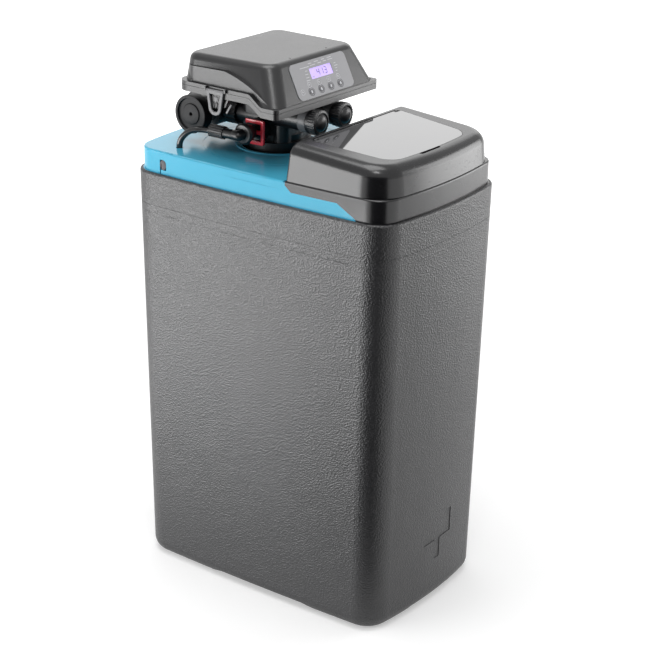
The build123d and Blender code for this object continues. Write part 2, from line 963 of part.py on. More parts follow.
with BuildPart() as mineral_tank:
    with BuildSketch(tank_section):
        add(tank_outside)
    revolve(axis=tank_axis)
    drum(
        on_axis(tank_shoulder_height - tank_wall),
        tank_neck_radius,
        tank_neck_height - tank_shoulder_height + tank_wall,
    )
    with BuildSketch(tank_section):
        add(tank_inside)
    revolve(axis=tank_axis, mode=Mode.SUBTRACT)
    drum(
        on_axis(tank_shoulder_height - 2 * tank_wall),
        tank_neck_radius - 2 * tank_wall,
        tank_neck_height,
        mode=Mode.SUBTRACT,
    )
mineral_tank.part.label = "mineral_tank"
export_step(mineral_tank.part, "parts/mineral_tank.step")

with BuildPart() as tank_boot:
    ring(on_axis(cabinet_floor_top), boot_radius, boot_bore_radius, boot_thickness)
tank_boot.part.label = "tank_boot"
export_step(tank_boot.part, "parts/tank_boot.step")

riser_low = tank_low + tank_wall + riser_foot_gap
basket_low = tank_low + tank_wall + seat_gap
valve_floor = tank_neck_height + seat_gap
riser_top = valve_flange_height - 2 * tank_wall
with BuildPart() as resin_bed:
    with BuildSketch(tank_section):
        add(resin_outside)
        with Locations((tank_radius / 2, resin_height + (tank_neck_height - resin_height) / 2)):
            Rectangle(2 * tank_radius, tank_neck_height - resin_height, mode=Mode.SUBTRACT)
    revolve(axis=tank_axis)
    drum(on_axis(0), riser_radius + seat_gap, tank_neck_height, mode=Mode.SUBTRACT)
    drum(on_axis(0), basket_radius + seat_gap, basket_low + basket_height + seat_gap, mode=Mode.SUBTRACT)
resin_bed.part.label = "resin_bed"
export_step(resin_bed.part, "parts/resin_bed.step")

with BuildPart() as riser_tube:
    ring(on_axis(riser_low), riser_radius, riser_radius - riser_wall, riser_top - riser_low)
riser_tube.part.label = "riser_tube"
export_step(riser_tube.part, "parts/riser_tube.step")


def slotted_basket(low, radius, height):
    """A strainer: a closed can with slots all round and a bore for the riser, in the open part."""
    ring(on_axis(low), radius, radius - basket_wall, height)
    ring(on_axis(low + height - basket_wall), radius, riser_radius + running_gap, basket_wall)
    with BuildSketch(Plane.XZ.offset(-tank_axis_y)) as slot:
        with Locations((0, low + height / 2)):
            Rectangle(basket_slot_width, height - 2 * basket_end)
    for index in range(basket_slots // 2):
        turned = slot.sketch.rotate(tank_axis, 360 / basket_slots * index)
        extrude(turned, amount=radius + overrun, both=True, mode=Mode.SUBTRACT)


with BuildPart() as bottom_basket:
    slotted_basket(basket_low, basket_radius, basket_height)
    drum(on_axis(basket_low), basket_radius, basket_wall)
bottom_basket.part.label = "bottom_basket"
export_step(bottom_basket.part, "parts/bottom_basket.step")

top_basket_low = valve_floor - top_basket_height
with BuildPart() as top_basket:
    slotted_basket(top_basket_low, top_basket_radius, top_basket_height)
    ring(
        on_axis(top_basket_low), top_basket_radius, riser_radius + running_gap, basket_wall
    )
top_basket.part.label = "top_basket"
export_step(top_basket.part, "parts/top_basket.step")

# Control valve body on the tank's neck
brine_bore_start = brine_boss_end - spigot_depth
with BuildPart() as valve_body:
    drum(on_axis(valve_skirt_low), valve_skirt_radius, valve_flange_height - valve_skirt_low)
    drum(on_axis(valve_flange_height), valve_barrel_radius, valve_barrel_height)
    with BuildSketch(upright(0, (valve_block_front + valve_block_rear) / 2, valve_flange_height)):
        RectangleRounded(valve_block_width, valve_block_rear - valve_block_front, valve_block_corner)
    extrude(amount=valve_block_top - valve_flange_height)
    for side in (-1, 1):
        drum(
            rearward(side * cap_half, cap_barrel_front, cap_height),
            cap_barrel_radius,
            tank_axis_y - cap_barrel_front,
        )
        drum(rearward(side * port_half, tank_axis_y, port_height), port_radius, port_end - tank_axis_y)
    drum(sideways(0, brine_axis_y, brine_height, -1), brine_boss_radius, brine_boss_end)
    drum(sideways(0, brine_axis_y, brine_height), drain_boss_radius, drain_boss_end)
    ring(
        on_axis(valve_floor),
        tank_neck_radius - oring_margin,
        tank_neck_radius - oring_margin - 2 * oring_section - seat_gap,
        2 * oring_section + seat_gap,
        mode=Mode.SUBTRACT,
    )
    drum(
        on_axis(valve_skirt_low),
        tank_neck_radius + running_gap,
        valve_floor - valve_skirt_low,
        mode=Mode.SUBTRACT,
    )
    drum(on_axis(valve_floor), riser_radius + running_gap, riser_top - valve_floor, mode=Mode.SUBTRACT)
    drum(
        on_axis(riser_top),
        riser_radius - riser_wall,
        valve_flange_height - riser_top,
        mode=Mode.SUBTRACT,
    )
    drum(
        on_axis(valve_flange_height), bore_radius, bore_top - valve_flange_height, mode=Mode.SUBTRACT
    )
    drum(on_axis(bore_top), piston_bore_radius, piston_bore_top - bore_top, mode=Mode.SUBTRACT)
    drum(
        on_axis(piston_bore_top),
        rod_radius + rod_gap,
        valve_block_top - piston_bore_top,
        mode=Mode.SUBTRACT,
    )
    for side in (-1, 1):
        drum(
            rearward(side * cap_half, cap_barrel_front, cap_height),
            cap_barrel_bore,
            valve_block_front - cap_barrel_front + cap_barrel_bore,
            mode=Mode.SUBTRACT,
        )
        drum(
            rearward(side * port_half, tank_axis_y + bore_radius, port_height),
            port_bore_radius,
            port_end - tank_axis_y - bore_radius,
            mode=Mode.SUBTRACT,
        )
        drum(
            sideways(0, tank_axis_y + bore_radius, port_height + side * passage_radius, side),
            passage_radius,
            port_half,
            mode=Mode.SUBTRACT,
        )
    drum(
        sideways(-brine_bore_start, brine_axis_y, brine_height, -1),
        brine_spigot_radius + running_gap,
        spigot_depth,
        mode=Mode.SUBTRACT,
    )
    drum(sideways(0, brine_axis_y, brine_height, -1), brine_bore_radius, brine_boss_end, mode=Mode.SUBTRACT)
    drum(sideways(0, brine_axis_y, brine_height), drain_passage_radius, drain_boss_end, mode=Mode.SUBTRACT)
valve_body.part.label = "valve_body"
export_step(valve_body.part, "parts/valve_body.step")

with BuildPart() as tank_oring:
    oring_middle = tank_neck_radius - oring_margin - oring_section - seat_gap / 2
    with BuildSketch(tank_section):
        with Locations((oring_middle, valve_floor + oring_section)):
            Circle(oring_section)
    revolve(axis=tank_axis)
tank_oring.part.label = "tank_oring"
export_step(tank_oring.part, "parts/tank_oring.step")

# Seal stack, piston and rod in the valve body's bore
stack_low = valve_flange_height + seat_gap
stack_high = bore_top - seat_gap
spacer_height = (stack_high - stack_low - seal_count * seal_thickness) / (seal_count - 1)
with BuildPart() as seal_stack:
    for index in range(seal_count):
        ring_low = stack_low + index * (seal_thickness + spacer_height)
        ring(on_axis(ring_low), bore_radius - running_gap, seal_inner_radius, seal_thickness)
    for index in range(seal_count - 1):
        spacer_low = stack_low + seal_thickness + index * (seal_thickness + spacer_height)
        ring(
            on_axis(spacer_low),
            bore_radius - running_gap,
            seal_inner_radius + spacer_relief,
            spacer_height,
        )
        for turn in range(spacer_windows):
            window = Plane(
                origin=(0, tank_axis_y, spacer_low + spacer_height / 2),
                z_dir=(cos(turn * pi / spacer_windows), sin(turn * pi / spacer_windows), 0),
            )
            drum(window, window_radius, bore_radius, mode=Mode.SUBTRACT)
            drum(window, window_radius, -bore_radius, mode=Mode.SUBTRACT)
seal_stack.part.label = "seal_stack"
export_step(seal_stack.part, "parts/seal_stack.step")

with BuildPart() as piston:
    drum(on_axis(piston_low), piston_radius, piston_high - piston_low)
    for share in piston_groove_shares:
        groove_low = piston_low + share * (piston_high - piston_low)
        ring(
            on_axis(groove_low),
            piston_radius + overrun,
            piston_radius - piston_groove,
            2 * piston_groove,
            mode=Mode.SUBTRACT,
        )
    drum(
        on_axis(piston_high - rod_socket), rod_radius + running_gap / 2, rod_socket, mode=Mode.SUBTRACT
    )
piston.part.label = "piston"
export_step(piston.part, "parts/piston.step")

with BuildPart() as piston_rod:
    drum(on_axis(piston_high - rod_socket), rod_radius, rod_top - piston_high + rod_socket)
    chamfer(piston_rod.edges().group_by(Axis.Z)[-1], rod_gap)
piston_rod.part.label = "piston_rod"
export_step(piston_rod.part, "parts/piston_rod.step")


def toothed_disc(x, y, low, height, teeth, turned=0.0):
    """A spur gear disc in the open part, with a tooth at the rear, turned by so many tooth pitches."""
    pitch_radius = gear_module * teeth / 2
    tip_radius = pitch_radius + tooth_tip_share * gear_module
    root_radius = pitch_radius - tooth_root_share * gear_module
    pitch_half = tooth_share * pi * gear_module / 2
    flank = tan(radians(pressure_angle))
    tip_half = pitch_half - (tip_radius - pitch_radius) * flank
    root_half = pitch_half + (pitch_radius - root_radius) * flank
    inner = root_radius - gear_module / 2
    with BuildSketch(upright(x, y, low)) as profile:
        Circle(root_radius)
        for index in range(teeth):
            angle = 2 * pi / teeth * (index + turned)
            out = Vector(sin(angle), cos(angle))
            across = Vector(-cos(angle), sin(angle))
            with BuildLine():
                Polyline(
                    out * inner - across * root_half,
                    out * root_radius - across * root_half,
                    out * tip_radius - across * tip_half,
                    out * tip_radius + across * tip_half,
                    out * root_radius + across * root_half,
                    out * inner + across * root_half,
                    close=True,
                )
            make_face()
    extrude(profile.sketch, amount=height)


# Drive on the head's tray: bracket, motor, pinion and the threaded drive gear
gear_distance = gear_module * (gear_teeth + pinion_teeth) / 2
motor_y = tank_axis_y + gear_distance
bracket_top = rim_high + bracket_thickness
tower_top = gear_low - seat_gap
bracket_length = bracket_rear - bracket_front
bracket_middle = (bracket_front + bracket_rear) / 2
screw_spacing_x = bracket_width - 2 * bracket_screw_inset
screw_spacing_y = bracket_length - 2 * bracket_screw_inset
tray_screw_holes = [
    (x * screw_spacing_x / 2, bracket_middle + y * screw_spacing_y / 2) for x in (-1, 1) for y in (-1, 1)
]

with BuildPart() as drive_bracket:
    with BuildSketch(upright(0, bracket_middle, rim_high)):
        RectangleRounded(bracket_width, bracket_length, bracket_screw_inset)
    extrude(amount=bracket_thickness)
    drum(on_axis(bracket_top), tower_radius, tower_top - bracket_top)
    drum(on_axis(rim_high), rod_radius + rod_gap, bracket_thickness, mode=Mode.SUBTRACT)
    drum(
        on_axis(bracket_top),
        gear_hub_radius + running_gap,
        tower_top - bracket_top,
        mode=Mode.SUBTRACT,
    )
    for x, y in tray_screw_holes:
        drum(
            upright(x, y, rim_high),
            bracket_screw_radius + running_gap,
            bracket_thickness,
            mode=Mode.SUBTRACT,
        )
drive_bracket.part.label = "drive_bracket"
export_step(drive_bracket.part, "parts/drive_bracket.step")

with BuildPart() as bracket_screws:
    for x, y in tray_screw_holes:
        drum(upright(x, y, bracket_top), 2 * bracket_screw_radius, bracket_screw_radius)
        drum(
            upright(x, y, rim_high - tray_thickness),
            bracket_screw_radius,
            bracket_thickness + tray_thickness,
        )
bracket_screws.part.label = "bracket_screws"
export_step(bracket_screws.part, "parts/bracket_screws.step")

with BuildPart() as drive_motor:
    drum(upright(0, motor_y, bracket_top), motor_radius, motor_height)
    with BuildSketch(upright(0, motor_y, bracket_top)):
        SlotOverall(2 * (motor_radius + 2 * motor_ear), 2 * motor_ear)
    extrude(amount=bracket_thickness)
    drum(
        upright(0, motor_y, bracket_top + motor_height - shaft_depth),
        motor_shaft_radius + running_gap,
        shaft_depth,
        mode=Mode.SUBTRACT,
    )
drive_motor.part.label = "drive_motor"
export_step(drive_motor.part, "parts/drive_motor.step")

with BuildPart() as motor_pinion:
    toothed_disc(0, motor_y, gear_low, gear_thickness, pinion_teeth, pinion_turned_share)
    drum(
        upright(0, motor_y, bracket_top + motor_height + seat_gap),
        pinion_hub_radius,
        gear_low - bracket_top - motor_height - seat_gap,
    )
    drum(
        upright(0, motor_y, bracket_top + motor_height - shaft_depth + seat_gap),
        motor_shaft_radius,
        shaft_depth,
    )
motor_pinion.part.label = "motor_pinion"
export_step(motor_pinion.part, "parts/motor_pinion.step")

with BuildPart() as drive_gear:
    toothed_disc(0, tank_axis_y, gear_low, gear_thickness, gear_teeth)
    for index in range(gear_holes):
        angle = 2 * pi * index / gear_holes
        reach = gear_module * gear_teeth / 4 + gear_hub_radius / 2
        drum(
            upright(reach * cos(angle), tank_axis_y + reach * sin(angle), gear_low),
            gear_hole_radius,
            gear_thickness,
            mode=Mode.SUBTRACT,
        )
    drum(on_axis(bracket_top + seat_gap), gear_hub_radius, gear_low - bracket_top - seat_gap)
    drum(
        on_axis(bracket_top), rod_radius + rod_gap, gear_low + gear_thickness, mode=Mode.SUBTRACT
    )
drive_gear.part.label = "drive_gear"
export_step(drive_gear.part, "parts/drive_gear.step")

# Screw caps on the two barrels that point to the front
cap_thickness = cap_barrel_front - cap_front


def screw_cap(x):
    """A knurled cap with a dished face and a plug that enters the barrel, in the open part."""
    drum(rearward(x, cap_front, cap_height), cap_radius, cap_thickness + cap_cover)
    for index in range(cap_teeth):
        angle = 2 * pi * index / cap_teeth
        drum(
            rearward(x + cap_radius * cos(angle), cap_front, cap_height + cap_radius * sin(angle)),
            cap_tooth_size,
            cap_thickness + cap_cover,
            mode=Mode.SUBTRACT,
        )
    drum(
        rearward(x, cap_barrel_front, cap_height),
        cap_barrel_radius + cap_thread_gap,
        cap_cover,
        mode=Mode.SUBTRACT,
    )
    drum(rearward(x, cap_front, cap_height), cap_dish_radius, cap_dish_depth, mode=Mode.SUBTRACT)
    drum(
        rearward(x, cap_front - cap_dome_rise, cap_height),
        cap_dome_radius,
        cap_dish_depth + cap_dome_rise,
    )
    drum(
        rearward(x, cap_front - cap_dome_rise, cap_height),
        cap_dimple_radius,
        cap_dome_rise,
        mode=Mode.SUBTRACT,
    )
    drum(rearward(x, cap_barrel_front, cap_height), cap_barrel_bore - cap_thread_gap, cap_skirt)
    ring(
        rearward(x, cap_barrel_front + cap_skirt / 2 - cap_seal_section - seat_gap, cap_height),
        cap_barrel_bore,
        cap_barrel_bore - cap_thread_gap - 2 * cap_seal_section,
        2 * (cap_seal_section + seat_gap),
        mode=Mode.SUBTRACT,
    )


with BuildPart() as injector_cap:
    screw_cap(-cap_half)
injector_cap.part.label = "injector_cap"
export_step(injector_cap.part, "parts/injector_cap.step")

with BuildPart() as flow_cap:
    screw_cap(cap_half)
flow_cap.part.label = "flow_cap"
export_step(flow_cap.part, "parts/flow_cap.step")

with BuildPart() as cap_seals:
    for side in (-1, 1):
        seal_plane = Plane(
            origin=(side * cap_half, cap_barrel_front + cap_skirt / 2, cap_height),
            x_dir=(0, 0, 1),
            z_dir=(-1, 0, 0),
        )
        with BuildSketch(seal_plane):
            with Locations((cap_barrel_bore - cap_thread_gap - cap_seal_section, 0)):
                Circle(cap_seal_section - running_gap)
        revolve(axis=Axis(origin=seal_plane.origin, direction=(0, 1, 0)))
cap_seals.part.label = "cap_seals"
export_step(cap_seals.part, "parts/cap_seals.step")

# Brine elbow, its nut and the pull clip that holds it
with BuildPart() as brine_elbow:
    drum(
        sideways(-brine_bore_start - seat_gap, brine_axis_y, brine_height, -1),
        brine_spigot_radius,
        brine_flange_start - brine_bore_start - seat_gap,
    )
    drum(
        sideways(-brine_flange_start, brine_axis_y, brine_height, -1),
        brine_flange_radius,
        brine_flange_end - brine_flange_start,
    )
    chamfer(brine_elbow.faces().sort_by(Axis.X)[0].edges(), brine_flange_chamfer)
    drum(
        sideways(-brine_flange_start, brine_axis_y, brine_height, -1),
        brine_arm_radius,
        brine_line_x - brine_flange_start,
    )
    with Locations((-brine_line_x, brine_axis_y, brine_height)):
        Sphere(brine_arm_radius)
    drum(rearward(-brine_line_x, brine_axis_y, brine_height), brine_arm_radius, nut_front - brine_axis_y)
    drum(rearward(-brine_line_x, nut_front, brine_height), brine_tip_radius, nut_insert - seat_gap)
    drum(
        sideways(-brine_bore_start - seat_gap, brine_axis_y, brine_height, -1),
        brine_bore_radius,
        brine_line_x - brine_bore_start - seat_gap,
        mode=Mode.SUBTRACT,
    )
    drum(
        rearward(-brine_line_x, brine_axis_y, brine_height),
        brine_bore_radius,
        nut_rear - brine_axis_y,
        mode=Mode.SUBTRACT,
    )
brine_elbow.part.label = "brine_elbow"
export_step(brine_elbow.part, "parts/brine_elbow.step")

nut_grip_length = nut_rear - nut_front - nut_collar_length
with BuildPart() as brine_nut:
    drum(rearward(-brine_line_x, nut_front, brine_height), nut_collar_radius, nut_rear - nut_front)
    drum(rearward(-brine_line_x, nut_rear - nut_grip_length, brine_height), nut_radius, nut_grip_length)
    for index in range(nut_ribs):
        angle = 2 * pi * index / nut_ribs
        drum(
            rearward(
                -brine_line_x + nut_radius * cos(angle),
                nut_rear - nut_grip_length,
                brine_height + nut_radius * sin(angle),
            ),
            nut_rib_radius,
            nut_grip_length - nut_rib_radius,
            mode=Mode.SUBTRACT,
        )
    drum(
        rearward(-brine_line_x, nut_front, brine_height),
        brine_tip_radius + running_gap,
        nut_insert,
        mode=Mode.SUBTRACT,
    )
    with Locations(rearward(-brine_line_x, nut_front, brine_height)):
        Cone(
            tube_radius + nut_tube_gap,
            tube_radius + nut_flare,
            nut_rear - nut_front,
            align=(Align.CENTER, Align.CENTER, Align.MIN),
            mode=Mode.SUBTRACT,
        )
brine_nut.part.label = "brine_nut"
export_step(brine_nut.part, "parts/brine_nut.step")

clip_gap = brine_flange_start - brine_boss_end
clip_thickness = clip_gap - 2 * seat_gap
clip_half = clip_width / 2
spine_rear = clip_front + clip_spine
clip_middle_end = brine_axis_y - brine_spigot_radius - seat_gap
with BuildPart() as brine_clip:
    with BuildSketch(sideways(-brine_flange_start + seat_gap, 0, brine_height)) as clip_face:
        with Locations(((clip_front + spine_rear) / 2, 0)):
            Rectangle(clip_spine, clip_width)
        for side in (-1, 1):
            with Locations(((clip_front + clip_rear) / 2, side * (clip_half - clip_prong / 2))):
                Rectangle(clip_rear - clip_front, clip_prong)
            with Locations((clip_rear - clip_barb, side * (clip_half - clip_prong))):
                Circle(clip_barb)
        with Locations(((clip_front + clip_middle_end) / 2, 0)):
            Rectangle(clip_middle_end - clip_front, clip_prong)
        corners = clip_face.vertices()
        fillet(corners.group_by(Axis.X)[0], clip_prong / 2)
    extrude(amount=clip_thickness)
brine_clip.part.label = "brine_clip"
export_step(brine_clip.part, "parts/brine_clip.step")

# Drain spigot on the right side
with BuildPart() as drain_fitting:
    drum(sideways(drain_boss_end, brine_axis_y, brine_height), drain_boss_radius, drain_collar)
    drum(
        sideways(drain_boss_end, brine_axis_y, brine_height),
        drain_barb_radius,
        drain_barb_end - drain_boss_end,
    )
    barb_pitch = (drain_barb_end - drain_boss_end - drain_collar) / barb_count
    for index in range(barb_count):
        with Locations(
            sideways(drain_boss_end + drain_collar + index * barb_pitch, brine_axis_y, brine_height)
        ):
            Cone(
                drain_barb_radius + barb_height,
                drain_barb_radius,
                barb_pitch,
                align=(Align.CENTER, Align.CENTER, Align.MIN),
            )
    drum(
        sideways(drain_boss_end, brine_axis_y, brine_height),
        drain_bore_radius,
        drain_barb_end - drain_boss_end,
        mode=Mode.SUBTRACT,
    )
drain_fitting.part.label = "drain_fitting"
export_step(drain_fitting.part, "parts/drain_fitting.step")

# Bypass valve, its sliding spool and the nuts that join it to the valve body
with BuildPart() as bypass_body:
    drum(sideways(-bypass_half_length, bypass_axis_y, port_height), bypass_radius, 2 * bypass_half_length)
    for side in (-1, 1):
        drum(rearward(side * port_half, port_end, port_height), port_radius, bypass_axis_y - port_end)
        drum(
            rearward(side * port_half, bypass_axis_y, port_height),
            bypass_outlet_radius,
            bypass_outlet_end - bypass_axis_y,
        )
    drum(
        sideways(-bypass_half_length, bypass_axis_y, port_height),
        bypass_bore,
        2 * bypass_half_length,
        mode=Mode.SUBTRACT,
    )
    for side in (-1, 1):
        drum(
            rearward(side * port_half, port_end, port_height),
            port_bore_radius,
            bypass_outlet_end - port_end,
            mode=Mode.SUBTRACT,
        )
        drum(
            rearward(side * port_half, bypass_outlet_end - port_socket_depth, port_height),
            port_socket_radius,
            port_socket_depth,
            mode=Mode.SUBTRACT,
        )
bypass_body.part.label = "bypass_body"
export_step(bypass_body.part, "parts/bypass_body.step")

with BuildPart() as bypass_nuts:
    for side in (-1, 1):
        ring(
            rearward(side * port_half, nut_ring_start, port_height),
            nut_ring_outer,
            port_radius + running_gap,
            nut_ring_end - nut_ring_start,
        )
        for index in range(nut_ring_teeth):
            angle = 2 * pi * index / nut_ring_teeth
            drum(
                rearward(
                    side * port_half + nut_ring_outer * cos(angle),
                    nut_ring_start,
                    port_height + nut_ring_outer * sin(angle),
                ),
                nut_ring_tooth,
                nut_ring_end - nut_ring_start,
                mode=Mode.SUBTRACT,
            )
bypass_nuts.part.label = "bypass_nuts"
export_step(bypass_nuts.part, "parts/bypass_nuts.step")

with BuildPart() as bypass_spool:
    right_face = knob_face - spool_travel
    drum(
        sideways(-knob_face + knob_length, bypass_axis_y, port_height),
        spool_shaft_radius,
        knob_face + right_face - 2 * knob_length,
    )
    for middle_share in spool_land_shares:
        drum(
            sideways(middle_share * bypass_half_length - spool_land_width / 2, bypass_axis_y, port_height),
            bypass_bore - spool_gap,
            spool_land_width,
        )
    for side, face in ((-1, knob_face), (1, right_face)):
        drum(
            sideways(side * (face - knob_length), bypass_axis_y, port_height, side),
            knob_radius,
            knob_length,
        )
        ring(
            sideways(side * (face - knob_recess), bypass_axis_y, port_height, side),
            knob_radius - knob_rim,
            knob_inner_radius,
            knob_recess,
            mode=Mode.SUBTRACT,
        )
        drum(
            sideways(side * (face - knob_recess / 2), bypass_axis_y, port_height, side),
            knob_inner_radius,
            knob_recess,
            mode=Mode.SUBTRACT,
        )
        drum(
            sideways(side * (face - 2 * knob_recess), bypass_axis_y, port_height, side),
            knob_hole_radius,
            2 * knob_recess,
            mode=Mode.SUBTRACT,
        )
bypass_spool.part.label = "bypass_spool"
export_step(bypass_spool.part, "parts/bypass_spool.step")

# Meter turbine in the right-hand port
turbine_front = turbine_middle - turbine_length / 2
axle_front = turbine_middle - axle_length / 2
with BuildPart() as turbine_axle:
    drum(rearward(port_half, axle_front, port_height), axle_radius, axle_length)
    for start in (axle_front, axle_front + axle_length - spider_thickness):
        with BuildSketch(rearward(port_half, start, port_height)):
            Rectangle(2 * port_bore_radius - 2 * running_gap, spider_width)
            Rectangle(spider_width, 2 * port_bore_radius - 2 * running_gap)
        extrude(amount=spider_thickness)
turbine_axle.part.label = "turbine_axle"
export_step(turbine_axle.part, "parts/turbine_axle.step")

with BuildPart() as meter_turbine:
    drum(rearward(port_half, turbine_front, port_height), turbine_hub, turbine_length)
    for index in range(turbine_blades):
        angle = 2 * pi * index / turbine_blades
        reach = (turbine_hub / 2 + turbine_radius) / 2
        with BuildSketch(rearward(port_half, turbine_front, port_height)):
            with Locations(Location((reach * cos(angle), reach * sin(angle)), degrees(angle))):
                Rectangle(turbine_radius - turbine_hub / 2, turbine_blade_thickness)
        extrude(amount=turbine_length)
    drum(
        rearward(port_half, turbine_front, port_height),
        axle_radius + running_gap,
        turbine_length,
        mode=Mode.SUBTRACT,
    )
meter_turbine.part.label = "meter_turbine"
export_step(meter_turbine.part, "parts/meter_turbine.step")

# Head: the tray and everything on it follow one outline and one stepped line


def head_outline(inset, rear_inset):
    """The head seen from above, drawn in from its rim by inset and by rear_inset at the rear."""
    with BuildSketch(mode=Mode.PRIVATE) as outline:
        with BuildLine():
            Polyline(
                (-head_front_half + inset, head_front + inset),
                (head_front_half - inset, head_front + inset),
                (head_rear_half - inset, head_rear - rear_inset),
                (-head_rear_half + inset, head_rear - rear_inset),
                close=True,
            )
        make_face()
        fillet(outline.vertices().group_by(Axis.Y)[-1], head_rear_corner - inset / 2)
        fillet(outline.vertices().group_by(Axis.Y)[0], head_front_corner)
    return outline.sketch


def stepped_block(outline, low, high):
    """An outline raised between two heights above and below the rim's stepped line."""
    reach = head_rear - head_front
    with BuildSketch(mode=Mode.PRIVATE) as band:
        with BuildLine():
            Polyline(
                (step_front - reach, rim_low + high),
                (step_front, rim_low + high),
                (step_rear, rim_high + high),
                (step_rear + reach, rim_high + high),
                (step_rear + reach, rim_high + low),
                (step_rear, rim_high + low),
                (step_front, rim_low + low),
                (step_front - reach, rim_low + low),
                close=True,
            )
        make_face()
        bends = [corner for corner in band.vertices() if step_front <= corner.X <= step_rear]
        fillet(bends, step_rounding)
    with BuildPart() as block:
        plate(Plane.XY.offset(rim_low - reach), outline, 2 * reach)
        plate(Plane.YZ.offset(-reach), band.sketch, 2 * reach, mode=Mode.INTERSECT)
    return block.part


rim_outline = head_outline(0, 0)
rim_inside = head_outline(rim_wall, rim_wall)
tray_block = stepped_block(rim_outline, -rim_band, 0)
tray_hollow = stepped_block(rim_inside, -2 * rim_band, -tray_thickness)


def flank(y):
    """Half the head's width at a place along it."""
    return head_front_half + (head_rear_half - head_front_half) * (y - head_front) / (head_rear - head_front)


catch_face = flank(latch_middle) - seat_gap
with BuildPart() as head_base:
    add(tray_block)
    add(tray_hollow, mode=Mode.SUBTRACT)
    drum(
        on_axis(rim_high - tray_thickness), rod_radius + rod_gap, tray_thickness, mode=Mode.SUBTRACT
    )
    for x, y in tray_screw_holes:
        drum(
            upright(x, y, rim_high - tray_thickness),
            bracket_screw_radius + running_gap,
            tray_thickness,
            mode=Mode.SUBTRACT,
        )
    for side in (-1, 1):
        catch_top = rim_high - rim_band / 2
        with BuildSketch(
            sideways(side * (catch_face - rim_wall), latch_middle, (catch_low + catch_top) / 2, side)
        ):
            Rectangle(catch_width, catch_top - catch_low)
        extrude(amount=rim_wall)
        for index in range(catch_ribs):
            rib_y = latch_middle + (index - (catch_ribs - 1) / 2) * catch_width / catch_ribs
            with BuildSketch(sideways(side * catch_face, rib_y, (catch_low + catch_top) / 2, side)):
                Rectangle(catch_rib_width, catch_top - catch_low - 2 * catch_rib_width)
            extrude(amount=catch_rib_rise)
        with BuildSketch(sideways(side * (catch_face - rim_wall), 0, 0)):
            with BuildLine():
                Polyline(
                    (brace_front, rim_high - rim_band + overrun),
                    (brace_front + brace_width, rim_high - rim_band + overrun),
                    (brace_front + brace_run + brace_width, brace_low),
                    (brace_front + brace_run, brace_low),
                    close=True,
                )
            make_face()
        extrude(amount=side * rim_wall)
head_base.part.label = "head_base"
export_step(head_base.part, "parts/head_base.step")

# Head cover
face_length = hypot(cover_face_run, cover_face_rise)
face_front = head_front + cover_face_setback
face_plane = Plane(
    origin=(0, face_front, cover_face_low),
    x_dir=(1, 0, 0),
    z_dir=(0, -cover_face_rise / face_length, cover_face_run / face_length),
)
face_slope = cover_face_run / cover_face_rise


def on_face(x, y, out=0):
    """A plane in the sloped face, moved along it and out of it."""
    return Plane(
        origin=face_plane.from_local_coords(Vector(x, y, out)), x_dir=(1, 0, 0), z_dir=face_plane.z_dir
    )


def dome_outline(height, inset):
    """The cover above its lip at a height, drawn in by inset."""
    rise = (height - cover_face_low) / (cover_top - cover_face_low)
    front = face_front + face_slope * (height - cover_face_low) + inset * hypot(1, face_slope)
    low_front_half = head_front_half - cover_lip_inset
    low_rear_half = head_rear_half - cover_lip_inset
    front_half = low_front_half + (cover_top_half_front - low_front_half) * rise - inset
    rear_half = low_rear_half + (cover_top_half_rear - low_rear_half) * rise - inset
    rear = head_rear - cover_lip_inset + (cover_top_rear - head_rear + cover_lip_inset) * rise - inset
    with BuildSketch(mode=Mode.PRIVATE) as outline:
        with BuildLine():
            Polyline(
                (-front_half, front),
                (front_half, front),
                (rear_half, rear),
                (-rear_half, rear),
                close=True,
            )
        make_face()
        fillet(outline.vertices().group_by(Axis.Y)[-1], head_rear_corner - inset)
        fillet(outline.vertices().group_by(Axis.Y)[0], cover_top_corner - inset)
    return outline.sketch


def cheek_form(inset):
    """The bulge on the cover's sides, below a curve that falls from rear to front."""
    shape = head_outline(cheek_inset + inset, cheek_rear_inset + inset)
    reach = head_rear - head_front
    with BuildSketch(mode=Mode.PRIVATE) as side_view:
        with BuildLine():
            ThreePointArc(
                (cheek_front, cover_face_low - inset),
                (cheek_bend, cheek_bend_height - inset),
                (cheek_rear, cheek_high - inset),
            )
            Line((cheek_rear, cheek_high - inset), (cheek_rear + reach, cheek_high - inset - cheek_fall))
            Line((cheek_rear + reach, cheek_high - inset - cheek_fall), (cheek_rear + reach, rim_low))
            Line((cheek_rear + reach, rim_low), (cheek_front, rim_low))
            Line((cheek_front, rim_low), (cheek_front, cover_face_low - inset))
        make_face()
    with BuildPart() as form:
        plate(Plane.XY.offset(rim_low - reach), shape, 2 * reach)
        plate(Plane.YZ.offset(-reach), side_view.sketch, 2 * reach, mode=Mode.INTERSECT)
    return form.part


def cover_form(inset):
    """The cover above its lip as a solid block, drawn in by inset."""
    low_outline = dome_outline(cover_face_low, inset)
    high_outline = dome_outline(cover_top - inset, inset)
    cheeks = cheek_form(inset)
    with BuildPart() as form:
        with BuildSketch(Plane.XY.offset(cover_face_low)):
            add(low_outline)
        with BuildSketch(Plane.XY.offset(cover_top - inset)):
            add(high_outline)
        loft(ruled=True)
        fillet(form.faces().sort_by(Axis.Z)[-1].edges(), cover_edge_radius - inset)
        add(cheeks)
    return form.part


